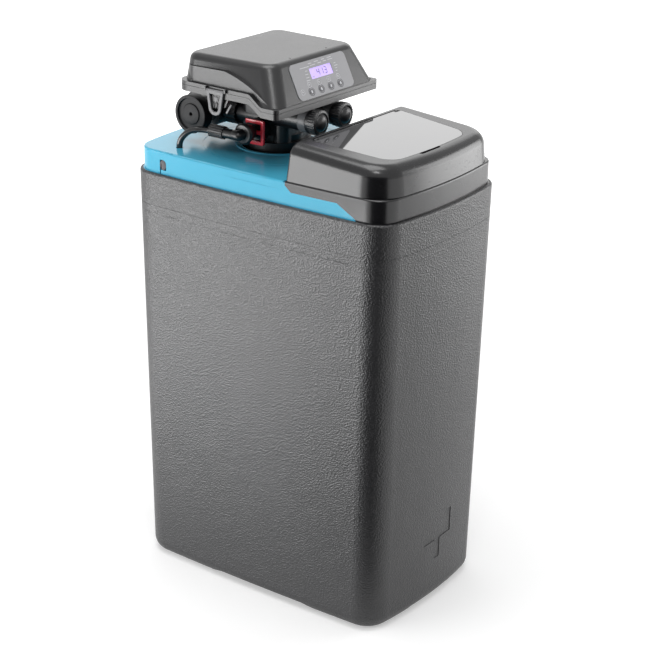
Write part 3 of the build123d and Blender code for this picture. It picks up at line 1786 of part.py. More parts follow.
cover_outer = cover_form(0)
cover_inner = cover_form(cover_wall)
lip_block = stepped_block(rim_outline, head_gap, head_gap + cover_lip)
lip_inside = head_outline(cover_lip_inset + cover_wall, cover_lip_inset + cover_wall)
lip_hollow = stepped_block(lip_inside, -rim_band, head_gap + cover_lip)
below_lip = stepped_block(head_outline(-overrun, -overrun), -head_rear, head_gap)
board_middle = overlay_low + overlay_height / 2
button_places = [(button_spacing * step, button_height) for step in button_steps]
post_places = [
    (x * (board_width / 2 - board_inset), board_middle + y * (board_height / 2 - board_inset))
    for x in (-1, 1)
    for y in (-1, 1)
]
latch_ends = (latch_middle - latch_width / 2, latch_middle + latch_width / 2)
latch_axis_x = latch_offset - latch_thickness / 2


def display_hole(x, y, width, height, corner, start, length, mode=Mode.SUBTRACT):
    """A rounded rectangle square to the sloped face, in the open part."""
    with BuildSketch(on_face(x, y, start)) as profile:
        RectangleRounded(width, height, corner)
    extrude(profile.sketch, amount=length, mode=mode)


def button_form(x, y, grow, start, length, mode=Mode.ADD):
    """An oval button block square to the sloped face, in the open part."""
    with BuildSketch(on_face(x, y, start)) as profile:
        Ellipse(button_length / 2 + grow, button_width / 2 + grow)
    extrude(profile.sketch, amount=length, mode=mode)


cut_depth = 2 * cover_wall
with BuildPart() as head_cover:
    add(cover_outer)
    add(lip_block)
    add(below_lip, mode=Mode.SUBTRACT)
    add(cover_inner, mode=Mode.SUBTRACT)
    add(lip_hollow, mode=Mode.SUBTRACT)
    display_hole(
        screen_shift,
        screen_middle,
        screen_width + 2 * screen_gap,
        screen_height + 2 * screen_gap,
        screen_corner,
        -cut_depth,
        cut_depth + cover_wall,
    )
    for x, y in button_places:
        button_form(x, y, button_gap, -cut_depth, cut_depth + cover_wall, mode=Mode.SUBTRACT)
    for x, y in post_places:
        ring(
            on_face(x, y, -board_depth),
            board_post_radius,
            board_screw_radius + running_gap,
            board_depth - cover_wall / 2,
        )
    for side in (-1, 1):
        pip_y = face_front + face_slope * (cover_top - cover_face_low) + pip_setback
        drum(
            upright(side * pip_spacing / 2, pip_y, cover_top - pip_depth),
            pip_radius,
            pip_depth,
            mode=Mode.SUBTRACT,
        )
        ear_middle = (flank(latch_middle) - latch_ear + latch_offset) / 2
        for outward, end in ((-1, latch_ends[0]), (1, latch_ends[1])):
            ear_y = end + outward * (seat_gap + latch_ear / 2)
            with BuildSketch(upright(side * ear_middle, ear_y, rim_high + head_gap)):
                Rectangle(latch_offset - flank(latch_middle) + latch_ear, latch_ear)
            extrude(amount=ear_height)
        drum(
            rearward(side * latch_axis_x, latch_ends[0] - latch_ear, latch_pivot),
            latch_pin_radius + running_gap,
            latch_width + 2 * latch_ear,
            mode=Mode.SUBTRACT,
        )
head_cover.part.label = "head_cover"
export_step(head_cover.part, "parts/head_cover.step")

overlay_middle = overlay_low + overlay_height / 2
with BuildPart() as display_overlay:
    display_hole(
        0,
        overlay_middle,
        overlay_width,
        overlay_height,
        overlay_corner,
        0,
        overlay_thickness,
        mode=Mode.ADD,
    )
    display_hole(
        screen_shift, screen_middle, screen_width, screen_height, screen_corner, 0, overlay_thickness
    )
    for x, y in button_places:
        button_form(x, y, button_gap, 0, overlay_thickness, mode=Mode.SUBTRACT)
display_overlay.part.label = "display_overlay"
export_step(display_overlay.part, "parts/display_overlay.step")

with BuildPart() as screen:
    display_hole(
        screen_shift,
        screen_middle,
        screen_width + 2 * screen_gap - 2 * running_gap,
        screen_height + 2 * screen_gap - 2 * running_gap,
        screen_corner,
        -screen_thickness,
        screen_thickness,
        mode=Mode.ADD,
    )
screen.part.label = "screen"
export_step(screen.part, "parts/screen.step")

button_foot = cover_wall + button_gap + button_flange_thickness
with BuildPart() as button_1:
    button_form(*button_places[0], 0, -button_foot, button_foot + overlay_thickness + button_rise)
    button_form(*button_places[0], button_flange, -button_foot, button_flange_thickness)
button_1.part.label = "button_1"
export_step(button_1.part, "parts/button_1.step")

with BuildPart() as button_2:
    button_form(*button_places[1], 0, -button_foot, button_foot + overlay_thickness + button_rise)
    button_form(*button_places[1], button_flange, -button_foot, button_flange_thickness)
button_2.part.label = "button_2"
export_step(button_2.part, "parts/button_2.step")

with BuildPart() as button_3:
    button_form(*button_places[2], 0, -button_foot, button_foot + overlay_thickness + button_rise)
    button_form(*button_places[2], button_flange, -button_foot, button_flange_thickness)
button_3.part.label = "button_3"
export_step(button_3.part, "parts/button_3.step")

with BuildPart() as button_4:
    button_form(*button_places[3], 0, -button_foot, button_foot + overlay_thickness + button_rise)
    button_form(*button_places[3], button_flange, -button_foot, button_flange_thickness)
button_4.part.label = "button_4"
export_step(button_4.part, "parts/button_4.step")

switch_height = board_depth - button_foot - button_travel - seat_gap
with BuildPart() as circuit_board:
    display_hole(
        0,
        board_middle,
        board_width,
        board_height,
        screen_corner,
        -board_depth - board_thickness,
        board_thickness,
        mode=Mode.ADD,
    )
    for x, y in post_places:
        drum(
            on_face(x, y, -board_depth - board_thickness),
            board_screw_radius + running_gap,
            board_thickness,
            mode=Mode.SUBTRACT,
        )
    for x, y in button_places:
        drum(on_face(x, y, -board_depth), switch_radius, switch_height)
circuit_board.part.label = "circuit_board"
export_step(circuit_board.part, "parts/circuit_board.step")

with BuildPart() as board_screws:
    for x, y in post_places:
        drum(
            on_face(x, y, -board_depth - board_thickness - board_screw_radius),
            2 * board_screw_radius,
            board_screw_radius,
        )
        drum(
            on_face(x, y, -board_depth - board_thickness),
            board_screw_radius,
            board_depth + board_thickness - cover_wall,
        )
board_screws.part.label = "board_screws"
export_step(board_screws.part, "parts/board_screws.step")

# Wire latches on the cover's sides


def latch_form(side):
    """A square loop that hangs from a bar along its top, in the open part."""
    with BuildSketch(sideways(side * (latch_offset - latch_thickness), 0, 0)) as loop:
        with Locations((latch_middle, (latch_pivot + latch_bottom) / 2)):
            Rectangle(latch_width, latch_pivot - latch_bottom)
        fillet(loop.vertices().group_by(Axis.Y)[0], latch_arm)
        with Locations((latch_middle, (latch_pivot + latch_bottom) / 2 + latch_arm / 2)):
            Rectangle(
                latch_width - 2 * latch_arm,
                latch_pivot - latch_bottom - latch_arm,
                mode=Mode.SUBTRACT,
            )
    extrude(loop.sketch, amount=side * latch_thickness)
    drum(rearward(side * latch_axis_x, latch_ends[0], latch_pivot), latch_barrel_radius, latch_width)
    drum(
        rearward(side * latch_axis_x, latch_ends[0] - latch_ear, latch_pivot),
        latch_pin_radius,
        latch_width + 2 * latch_ear,
    )


with BuildPart() as latch_left:
    latch_form(-1)
latch_left.part.label = "latch_left"
export_step(latch_left.part, "parts/latch_left.step")

with BuildPart() as latch_right:
    latch_form(1)
latch_right.part.label = "latch_right"
export_step(latch_right.part, "parts/latch_right.step")

# Brine well in the cabinet's rear left corner, and the safety float valve in it
well_plane = upright(well_x, well_y, well_low)
well_bore = well_radius - well_wall
with BuildPart() as brine_well:
    ring(well_plane, well_radius, well_bore, well_high - well_low)
    for index in range(well_slots // 2):
        angle = pi * index / (well_slots // 2)
        slot_plane = Plane(
            origin=(well_x, well_y, well_low + well_slot_low + well_slot_height / 2),
            x_dir=(-sin(angle), cos(angle), 0),
            z_dir=(cos(angle), sin(angle), 0),
        )
        with BuildSketch(slot_plane):
            Rectangle(well_slot_width, well_slot_height)
        extrude(amount=well_radius + overrun, both=True, mode=Mode.SUBTRACT)
brine_well.part.label = "brine_well"
export_step(brine_well.part, "parts/brine_well.step")

with BuildPart() as well_cap:
    drum(upright(well_x, well_y, well_high), well_radius, well_cap_height)
    drum(upright(well_x, well_y, well_high - well_cap_lip), well_bore - running_gap, well_cap_lip)
    drum(
        upright(tube_x, tube_y, well_high - well_cap_lip),
        tube_radius + tube_hole_gap,
        well_cap_height + well_cap_lip,
        mode=Mode.SUBTRACT,
    )
well_cap.part.label = "well_cap"
export_step(well_cap.part, "parts/well_cap.step")

float_x = well_x + float_offset_x
float_y = well_y + float_offset_y
with BuildPart() as brine_valve:
    with BuildSketch(upright(well_x, well_y, brine_valve_low)):
        RectangleRounded(brine_valve_width, brine_valve_depth, brine_valve_corner)
    extrude(amount=brine_valve_high - brine_valve_low)
    drum(
        upright(float_x, float_y, brine_valve_low),
        float_rod_radius + seat_gap,
        brine_valve_high - brine_valve_low,
        mode=Mode.SUBTRACT,
    )
    drum(
        upright(tube_x, tube_y, brine_valve_low),
        tube_bore_radius,
        brine_valve_high - brine_valve_low,
        mode=Mode.SUBTRACT,
    )
brine_valve.part.label = "brine_valve"
export_step(brine_valve.part, "parts/brine_valve.step")

with BuildPart() as pickup_tube:
    drum(upright(tube_x, tube_y, pickup_low), pickup_radius, brine_valve_low - pickup_low)
    drum(upright(tube_x, tube_y, air_check_low), air_check_radius, pickup_low - air_check_low)
    for index in range(air_check_slots):
        window = upright(tube_x, tube_y, air_check_low + air_check_slot * (2 * index + 1))
        ring(
            window,
            air_check_radius,
            air_check_radius - pickup_radius / 2,
            air_check_slot,
            mode=Mode.SUBTRACT,
        )
    drum(
        upright(tube_x, tube_y, pickup_low),
        tube_bore_radius,
        brine_valve_low - pickup_low,
        mode=Mode.SUBTRACT,
    )
pickup_tube.part.label = "pickup_tube"
export_step(pickup_tube.part, "parts/pickup_tube.step")

with BuildPart() as float_rod:
    drum(upright(float_x, float_y, float_rod_low), float_rod_radius, float_rod_high - float_rod_low)
float_rod.part.label = "float_rod"
export_step(float_rod.part, "parts/float_rod.step")

with BuildPart() as brine_float:
    drum(upright(float_x, float_y, float_low), float_radius, float_length)
    fillet(brine_float.edges().filter_by(GeomType.CIRCLE), float_radius / 4)
    drum(
        upright(float_x, float_y, float_low),
        float_rod_radius + running_gap / 2,
        float_length,
        mode=Mode.SUBTRACT,
    )
brine_float.part.label = "brine_float"
export_step(brine_float.part, "parts/brine_float.step")

# Salt grid in front of the tank
grid_outside = cabinet_outline(cabinet_wall + grid_gap, grid_height - grid_thickness)
grid_front = -(cabinet_depth / 2 - cabinet_draft - cabinet_wall - grid_gap - cabinet_end_bow)
grid_half = cabinet_width / 2 - cabinet_draft - cabinet_wall - grid_gap - grid_leg_inset
grid_columns = int(2 * grid_half / grid_pitch) + 1
grid_rows = int((grid_rear - grid_front - 2 * grid_pitch) / grid_pitch) + 1
with BuildPart() as salt_grid:
    with BuildSketch(Plane.XY.offset(grid_height - grid_thickness)):
        add(grid_outside)
        with Locations((0, grid_rear - cabinet_depth / 2)):
            Rectangle(cabinet_width, cabinet_depth, mode=Mode.INTERSECT)
        with Locations((0, (grid_rear + grid_front) / 2)):
            with GridLocations(grid_pitch, grid_pitch, grid_columns, grid_rows):
                Circle(grid_hole_radius, mode=Mode.SUBTRACT)
    extrude(amount=grid_thickness)
    for side in (-1, 1):
        for leg_y in (grid_rear - grid_leg_inset, grid_front + grid_leg_inset):
            ring(
                upright(side * grid_half, leg_y, cabinet_floor_top),
                grid_leg_radius,
                grid_leg_radius - grid_thickness / 2,
                grid_height - grid_thickness - cabinet_floor_top,
            )
salt_grid.part.label = "salt_grid"
export_step(salt_grid.part, "parts/salt_grid.step")
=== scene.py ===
"""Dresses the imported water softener: its studio, its finishes and the pieces shaped here."""

from __future__ import annotations

import json
import logging
import math
from collections.abc import Callable, Iterable
from dataclasses import dataclass, field
from enum import Enum

import bmesh
import bpy
from mathutils import Matrix, Vector

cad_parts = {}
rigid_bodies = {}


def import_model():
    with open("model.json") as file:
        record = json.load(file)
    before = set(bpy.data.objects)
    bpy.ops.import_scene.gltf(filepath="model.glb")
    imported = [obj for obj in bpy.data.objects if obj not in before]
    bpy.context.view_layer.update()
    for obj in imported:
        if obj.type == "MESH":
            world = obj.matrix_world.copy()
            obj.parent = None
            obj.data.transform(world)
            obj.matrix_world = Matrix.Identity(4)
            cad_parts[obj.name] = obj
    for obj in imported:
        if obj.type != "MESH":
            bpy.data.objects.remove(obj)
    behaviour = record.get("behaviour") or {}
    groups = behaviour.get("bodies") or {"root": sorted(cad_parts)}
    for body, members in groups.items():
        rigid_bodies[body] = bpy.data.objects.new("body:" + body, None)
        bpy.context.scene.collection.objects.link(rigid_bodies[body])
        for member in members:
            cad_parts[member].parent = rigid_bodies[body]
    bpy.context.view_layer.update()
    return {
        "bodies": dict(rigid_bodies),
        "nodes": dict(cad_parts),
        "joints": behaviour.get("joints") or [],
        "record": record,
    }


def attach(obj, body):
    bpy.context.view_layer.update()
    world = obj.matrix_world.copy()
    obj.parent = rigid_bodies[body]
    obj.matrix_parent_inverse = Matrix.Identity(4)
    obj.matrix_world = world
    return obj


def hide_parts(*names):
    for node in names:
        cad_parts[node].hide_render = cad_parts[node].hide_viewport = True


LOG = logging.getLogger("water_softener")

Colour = tuple[float, float, float]
Point = tuple[float, float, float]
Pair = tuple[float, float]
Socket = bpy.types.NodeSocket
Piece = bpy.types.Object
Feeds = dict[str | int, object]

UNTURNED: Point = (0.0, 0.0, 0.0)
ALONG_X: Point = (0.0, math.pi / 2, 0.0)
ALONG_Y: Point = (math.pi / 2, 0.0, 0.0)
FULL_SIZE: Point = (1.0, 1.0, 1.0)


class Body(Enum):
    """The bodies that the new pieces ride on."""

    BASE = "base"
    COVER = "cover"
    LEFT_LATCH = "left_latch"
    RIGHT_LATCH = "right_latch"
    CLIP = "clip"
    SPOOL = "spool"
    KEY_1 = "key_1"
    KEY_2 = "key_2"
    KEY_3 = "key_3"
    KEY_4 = "key_4"


class NodeDesk:
    """Lays out nodes in one tree, left to right, and joins them."""

    COLUMN_WIDTH = 190

    def __init__(self, tree: bpy.types.NodeTree) -> None:
        """Keeps the tree that the nodes go into.

        Args:
            tree: The node tree of a material, a group or the world.
        """
        self.tree = tree
        self.column = 0

    def add(self, kind: str, feeds: Feeds | None = None, **settings: object) -> bpy.types.Node:
        """Adds a node, sets its properties and then feeds its inputs.

        Args:
            kind: The node's Blender type name.
            feeds: Inputs by name or number, each with a socket or a constant.
            **settings: Property names and their values.

        Returns:
            The new node.
        """
        node = self.tree.nodes.new(kind)
        node.location = (self.column * self.COLUMN_WIDTH, 0)
        self.column += 1
        for key, value in settings.items():
            setattr(node, key, value)
        for key, value in (feeds or {}).items():
            if isinstance(value, bpy.types.NodeSocket):
                self.tree.links.new(value, node.inputs[key])
            else:
                node.inputs[key].default_value = value
        return node

    def math(self, operation: str, first: Socket | float, second: Socket | float) -> Socket:
        """Adds a two-value math node.

        Args:
            operation: The math operation's name.
            first: A socket or a number.
            second: A socket or a number.

        Returns:
            The result.
        """
        return self.add("ShaderNodeMath", {0: first, 1: second}, operation=operation).outputs[0]

    def stretch(self, vector: Socket, factors: Point) -> Socket:
        """Multiplies coordinates, so that a texture is squeezed along each axis.

        Args:
            vector: The coordinates.
            factors: What each axis is multiplied by.

        Returns:
            The new coordinates.
        """
        feeds = {0: vector, 1: factors}
        return self.add("ShaderNodeVectorMath", feeds, operation="MULTIPLY").outputs[0]

    def noise(self, vector: Socket, inputs: Feeds) -> Socket:
        """Adds a noise texture.

        Args:
            vector: The coordinates that it reads.
            inputs: Its other inputs.

        Returns:
            The noise's value.
        """
        feeds = {"Vector": vector, **inputs}
        return self.add("ShaderNodeTexNoise", feeds, noise_dimensions="3D").outputs[0]

    def ramp(
        self, value: Socket, start: float, end: float, to: Pair = (0.0, 1.0), smooth: bool = False
    ) -> Socket:
        """Maps one range of numbers onto another.

        Args:
            value: The number that is mapped.
            start: Where the range begins.
            end: Where the range ends.
            to: What its two ends become.
            smooth: Whether it eases in and out.

        Returns:
            The mapped number.
        """
        limits = {"From Min": start, "From Max": end, "To Min": to[0], "To Max": to[1]}
        easing = "SMOOTHSTEP" if smooth else "LINEAR"
        node = self.add("ShaderNodeMapRange", {"Value": value, **limits}, interpolation_type=easing)
        return node.outputs["Result"]

    def mix(self, share: Socket, first: Colour, second: Colour) -> Socket:
        """Mixes two colours.

        Args:
            share: How much of the second colour shows.
            first: The colour at 0.
            second: The colour at 1.

        Returns:
            The mixed colour.
        """
        feeds = {0: share, 6: (*first, 1.0), 7: (*second, 1.0)}
        return self.add("ShaderNodeMix", feeds, data_type="RGBA").outputs[2]

    def bump(
        self, height: Socket, distance: float, under: Socket | None = None, invert: bool = False
    ) -> Socket:
        """Adds a bump on top of another.

        Args:
            height: The relief, from 0 to 1.
            distance: How high 1 stands, in metres.
            under: The normal of the bump under it, if there is one.
            invert: Whether the relief is sunk instead of raised.

        Returns:
            The normal.
        """
        feeds = {"Height": height, "Distance": distance}
        if under is not None:
            feeds["Normal"] = under
        return self.add("ShaderNodeBump", feeds, invert=invert).outputs["Normal"]

    def seen_by(self, *rays: str) -> Socket:
        """Finds whether the ray is of one of some kinds.

        Args:
            *rays: The light path's names for the kinds.

        Returns:
            1 for such a ray, or else 0.
        """
        path = self.add("ShaderNodeLightPath").outputs
        seen = path[rays[0]]
        for ray in rays[1:]:
            seen = self.math("MAXIMUM", seen, path[ray])
        return seen

    def surface(self, feeds: Feeds) -> None:
        """Ends a material with one principled shader.

        Args:
            feeds: The shader's inputs.
        """
        shader = self.add("ShaderNodeBsdfPrincipled", feeds)
        self.add("ShaderNodeOutputMaterial", {"Surface": shader.outputs[0]})


class Effect(Enum):
    """The shared surface effects, each a node group built once."""

    GRAIN = "moulded_grain"
    WEAR = "handling_wear"
    FLOW = "moulding_flow"


class Effects:
    """Builds the shared effect groups and places them in materials."""

    NOISE_SHARE = 0.62
    GRAIN_SOFTNESS = 0.22
    WEAR_SCALE = 18.0
    RUB_SCALE = 72.0
    RUB_STRETCH: Point = (1.0, 14.0, 6.0)
    RIPPLE_SHARE = 6.0
    PIT_RANGE: Pair = (0.35, 0.85)
    RUB_RANGE: Pair = (0.56, 0.74)

    def __init__(self) -> None:
        """Builds every group once."""
        self.groups = {
            Effect.GRAIN: self.grain(),
            Effect.WEAR: self.wear(),
            Effect.FLOW: self.flow(),
        }

    def start(
        self, effect: Effect, inputs: dict[str, float], outputs: tuple[str, ...]
    ) -> tuple[NodeDesk, bpy.types.NodeOutputs]:
        """Opens a new group with a Vector input, number inputs and number outputs.

        Args:
            effect: Which effect the group is.
            inputs: Names of the number inputs and their defaults.
            outputs: Names of the number outputs.

        Returns:
            A desk on the group's tree, and what its user gives it.
        """
        tree = bpy.data.node_groups.new(effect.value, "ShaderNodeTree")
        tree.interface.new_socket("Vector", in_out="INPUT", socket_type="NodeSocketVector")
        for name, value in inputs.items():
            socket = tree.interface.new_socket(name, in_out="INPUT", socket_type="NodeSocketFloat")
            socket.default_value = value
        for name in outputs:
            tree.interface.new_socket(name, in_out="OUTPUT", socket_type="NodeSocketFloat")
        desk = NodeDesk(tree)
        return desk, desk.add("NodeGroupInput").outputs

    def grain(self) -> bpy.types.NodeTree:
        """Makes the pebbled grain of a moulded plastic wall.

        Returns:
            A group with Height and Pits outputs.
        """
        desk, given = self.start(Effect.GRAIN, {"Scale": 300.0}, ("Height", "Pits"))
        feeds = {"Vector": given["Vector"], "Scale": given["Scale"]}
        cells = desk.add("ShaderNodeTexVoronoi", feeds, feature="F1", voronoi_dimensions="3D")
        scale = desk.math("MULTIPLY", given["Scale"], self.NOISE_SHARE)
        noise = desk.noise(given["Vector"], {"Scale": scale, "Detail": 3.0, "Roughness": 0.6})
        soft = desk.math("MULTIPLY", noise, self.GRAIN_SOFTNESS)
        height = desk.math("ADD", cells.outputs["Distance"], soft)
        pits = desk.ramp(height, *self.PIT_RANGE)
        desk.add("NodeGroupOutput", {"Height": height, "Pits": pits})
        return desk.tree

    def wear(self) -> bpy.types.NodeTree:
        """Makes the dull patches and fine rubs that handling leaves on a smooth surface.

        Returns:
            A group with Patch and Rubs outputs.
        """
        desk, given = self.start(Effect.WEAR, {"Amount": 0.5}, ("Patch", "Rubs"))
        shape = {"Scale": self.WEAR_SCALE, "Detail": 4.0, "Roughness": 0.55}
        broad = desk.noise(given["Vector"], shape)
        along = desk.stretch(given["Vector"], self.RUB_STRETCH)
        fine = desk.noise(along, {"Scale": self.RUB_SCALE, "Detail": 2.0})
        rubs = desk.ramp(fine, *self.RUB_RANGE)
        feeds = {
            "Patch": desk.math("MULTIPLY", broad, given["Amount"]),
            "Rubs": desk.math("MULTIPLY", rubs, given["Amount"]),
        }
        desk.add("NodeGroupOutput", feeds)
        return desk.tree

    def flow(self) -> bpy.types.NodeTree:
        """Makes the slow swirl of shade and relief that moulding leaves in a large panel.

        Returns:
            A group with Shade and Ripple outputs.
        """
        desk, given = self.start(Effect.FLOW, {"Scale": 4.0}, ("Shade", "Ripple"))
        swirl = {"Scale": given["Scale"], "Detail": 2.0, "Distortion": 0.8}
        shade = desk.noise(given["Vector"], swirl)
        scale = desk.math("MULTIPLY", given["Scale"], self.RIPPLE_SHARE)
        ripple = desk.noise(given["Vector"], {"Scale": scale, "Detail": 1.0})
        desk.add("NodeGroupOutput", {"Shade": shade, "Ripple": ripple})
        return desk.tree

    def place(
        self, desk: NodeDesk, effect: Effect, vector: Socket, **values: float
    ) -> bpy.types.NodeOutputs:
        """Places an effect in a material.

        Args:
            desk: The material's desk.
            effect: Which effect to place.
            vector: The coordinates it reads.
            **values: The group's number inputs, with the first letter small.

        Returns:
            What the effect gives.
        """
        feeds = {"Vector": vector} | {name.capitalize(): value for name, value in values.items()}
        return desk.add("ShaderNodeGroup", feeds, node_tree=self.groups[effect]).outputs


def blank_material(name: str) -> tuple[bpy.types.Material, NodeDesk]:
    """Starts a material with no nodes.

    Args:
        name: The material's name.

    Returns:
        The material and a desk on its tree.
    """
    material = bpy.data.materials.new(name)
    material.use_nodes = True
    material.node_tree.nodes.clear()
    return material, NodeDesk(material.node_tree)


@dataclass(frozen=True)
class Surface:
    """What all the finishes share: a name, and a material round one principled shader."""

    name: str

    def feeds(self, desk: NodeDesk, place: Socket, effects: Effects) -> Feeds:
        """Lays out the nodes before the shader. Each kind of surface has its own.

        Args:
            desk: The material's desk.
            place: The object's coordinates.
            effects: The shared effect groups.

        Returns:
            The shader's inputs.
        """
        raise NotImplementedError

    def build(self, effects: Effects) -> None:
        """Builds the material.

        Args:
            effects: The shared effect groups.
        """
        _, desk = blank_material(self.name)
        place = desk.add("ShaderNodeTexCoord").outputs["Object"]
        desk.surface(self.feeds(desk, place, effects))


@dataclass(frozen=True)
class Grain:
    """How fine, how deep and how shaded a moulded grain is."""

    scale: float = 900.0
    depth: float = 0.00005
    shade: float = 0.15


@dataclass(frozen=True)
class Plastic(Surface):
    """A moulded plastic or rubber, from gloss to textured."""

    colour: Colour
    dark_colour: Colour
    roughness: float
    grain: Grain
    roughness_spread: float = 0.12
    specular: float = 0.5
    coat: float = 0.0
    coat_roughness: float = 0.05
    wear_amount: float = 0.35
    ripple_depth: float = 0.0
    sheen: float = 0.0
    seam_height: float = 0.0
    seam_width: float = 0.0016
    seam_depth: float = 0.00025

    def seam(self, desk: NodeDesk, place: Socket) -> Socket:
        """Finds the level line that a mould's parting leaves round a wall.

        Args:
            desk: The material's desk.
            place: The object's coordinates.

        Returns:
            A mask that is 1 on the line and 0 off it.
        """
        height = desk.add("ShaderNodeSeparateXYZ", {0: place}).outputs["Z"]
        off = desk.math("ABSOLUTE", desk.math("SUBTRACT", height, self.seam_height), 0.0)
        return desk.ramp(off, 0.0, self.seam_width, to=(1.0, 0.0), smooth=True)

    def feeds(self, desk: NodeDesk, place: Socket, effects: Effects) -> Feeds:
        """Lays out grain, wear, flow and the seam, as Surface.feeds asks."""
        grain = effects.place(desk, Effect.GRAIN, place, scale=self.grain.scale)
        wear = effects.place(desk, Effect.WEAR, place, amount=self.wear_amount)
        flow = effects.place(desk, Effect.FLOW, place)

        pits = desk.math("MULTIPLY", grain["Pits"], self.grain.shade)
        slow = desk.math("MULTIPLY", flow["Shade"], 1.0 - self.grain.shade)
        dulled = desk.math("ADD", wear["Patch"], wear["Rubs"])
        spread = desk.math("MULTIPLY", dulled, self.roughness_spread)

        normal = desk.bump(grain["Height"], self.grain.depth)
        if self.ripple_depth:
            normal = desk.bump(flow["Ripple"], self.ripple_depth, normal)
        if self.seam_height:
            normal = desk.bump(self.seam(desk, place), self.seam_depth, normal)

        return {
            "Base Color": desk.mix(desk.math("ADD", pits, slow), self.dark_colour, self.colour),
            "Roughness": desk.math("ADD", spread, self.roughness),
            "Normal": normal,
            "Specular IOR Level": self.specular,
            "Coat Weight": self.coat,
            "Coat Roughness": self.coat_roughness,
            "Sheen Weight": self.sheen,
        }


@dataclass(frozen=True)
class DrawnSteel(Surface):
    """Bright steel with fine drawing lines along one axis."""

    colour: Colour = (0.56, 0.56, 0.57)
    line_colour: Colour = (0.42, 0.42, 0.4275)
    roughness: float = 0.28
    line_stretch: Point = (400.0, 400.0, 20.0)
    line_depth: float = 0.00001

    def feeds(self, desk: NodeDesk, place: Socket, effects: Effects) -> Feeds:
        """Lays out the drawing lines and the wear, as Surface.feeds asks."""
        along = desk.stretch(place, self.line_stretch)
        lines = desk.noise(along, {"Scale": 6.0, "Detail": 3.0})
        wear = effects.place(desk, Effect.WEAR, place, amount=0.4)
        rough = desk.math("ADD", desk.math("MULTIPLY", lines, 0.12), self.roughness)
        return {
            "Base Color": desk.mix(lines, self.line_colour, self.colour),
            "Roughness": desk.math("ADD", rough, desk.math("MULTIPLY", wear["Patch"], 0.1)),
            "Normal": desk.bump(lines, self.line_depth),
            "Metallic": 1.0,
        }


@dataclass(frozen=True)
class WoundShell(Surface):
    """The fibre-wound wall of the pressure tank, with crossing bands under a clear coat."""

    colour: Colour = (0.62, 0.60, 0.50)
    band_colour: Colour = (0.46, 0.43, 0.34)
    band_lean: float = 0.9
    band_scale: float = 42.0
    band_depth: float = 0.0002

    def feeds(self, desk: NodeDesk, place: Socket, effects: Effects) -> Feeds:
        """Lays out the crossing bands and the wear, as Surface.feeds asks."""
        waves = []
        for lean in (self.band_lean, -self.band_lean):
            turned = {"Vector": place, "Rotation": (lean, 0.0, 0.0)}
            wave = {
                "Vector": desk.add("ShaderNodeMapping", turned).outputs[0],
                "Scale": self.band_scale,
                "Distortion": 1.5,
            }
            waves.append(desk.add("ShaderNodeTexWave", wave, bands_direction="Z").outputs["Fac"])
        crossing = desk.math("MULTIPLY", *waves)
        wear = effects.place(desk, Effect.WEAR, place, amount=0.4)
        return {
            "Base Color": desk.mix(crossing, self.band_colour, self.colour),
            "Roughness": desk.math("ADD", desk.math("MULTIPLY", wear["Patch"], 0.2), 0.25),
            "Normal": desk.bump(crossing, self.band_depth),
            "Coat Weight": 0.4,
        }


@dataclass(frozen=True)
class BackLitScreen(Surface):
    """The lit display: a faint pixel grid that glows violet behind a clear window."""

    colour: Colour = (0.56, 0.44, 0.88)
    dim_colour: Colour = (0.4032, 0.3168, 0.6336)
    glow: float = 0.62
    pixel_scale: float = 1600.0

    def feeds(self, desk: NodeDesk, place: Socket, effects: Effects) -> Feeds:
        """Lays out the pixel grid and the uneven light behind it, as Surface.feeds asks."""
        light = effects.place(desk, Effect.FLOW, place, scale=30.0)
        grid = desk.add("ShaderNodeTexChecker", {"Vector": place, "Scale": self.pixel_scale})
        pixels = desk.math("MULTIPLY", grid.outputs["Fac"], 0.12)
        lit = desk.mix(desk.math("ADD", light["Shade"], pixels), self.dim_colour, self.colour)
        return {
            "Base Color": lit,
            "Emission Color": lit,
            "Emission Strength": self.glow,
            "Roughness": 0.12,
        }


@dataclass(frozen=True)
class Beads(Surface):
    """The bed of small round resin beads, with painted shade in the gaps between them."""

    colour: Colour = (0.42, 0.20, 0.05)
    # Painted shade: the colour darkens towards the gaps between beads, where shade falls.
    painted_gap_shade: Colour = (0.10, 0.04, 0.01)
    bead_scale: float = 700.0
    bead_depth: float = 0.0004

    def feeds(self, desk: NodeDesk, place: Socket, effects: Effects) -> Feeds:
        """Lays out the beads, the painted shade between them and the wear, as Surface.feeds asks.
        """
        feeds = {"Vector": place, "Scale": self.bead_scale}
        cells = desk.add("ShaderNodeTexVoronoi", feeds, voronoi_dimensions="3D")
        beads = cells.outputs["Distance"]
        wear = effects.place(desk, Effect.WEAR, place, amount=0.5)
        return {
            "Base Color": desk.mix(beads, self.colour, self.painted_gap_shade),
            "Roughness": desk.math("ADD", desk.math("MULTIPLY", wear["Patch"], 0.3), 0.3),
            "Normal": desk.bump(beads, self.bead_depth, invert=True),
        }


FINE_GRAIN = Grain(1500.0, 0.00004, 0.3)
PRINT_GRAIN = Grain(2600.0, 0.00001)


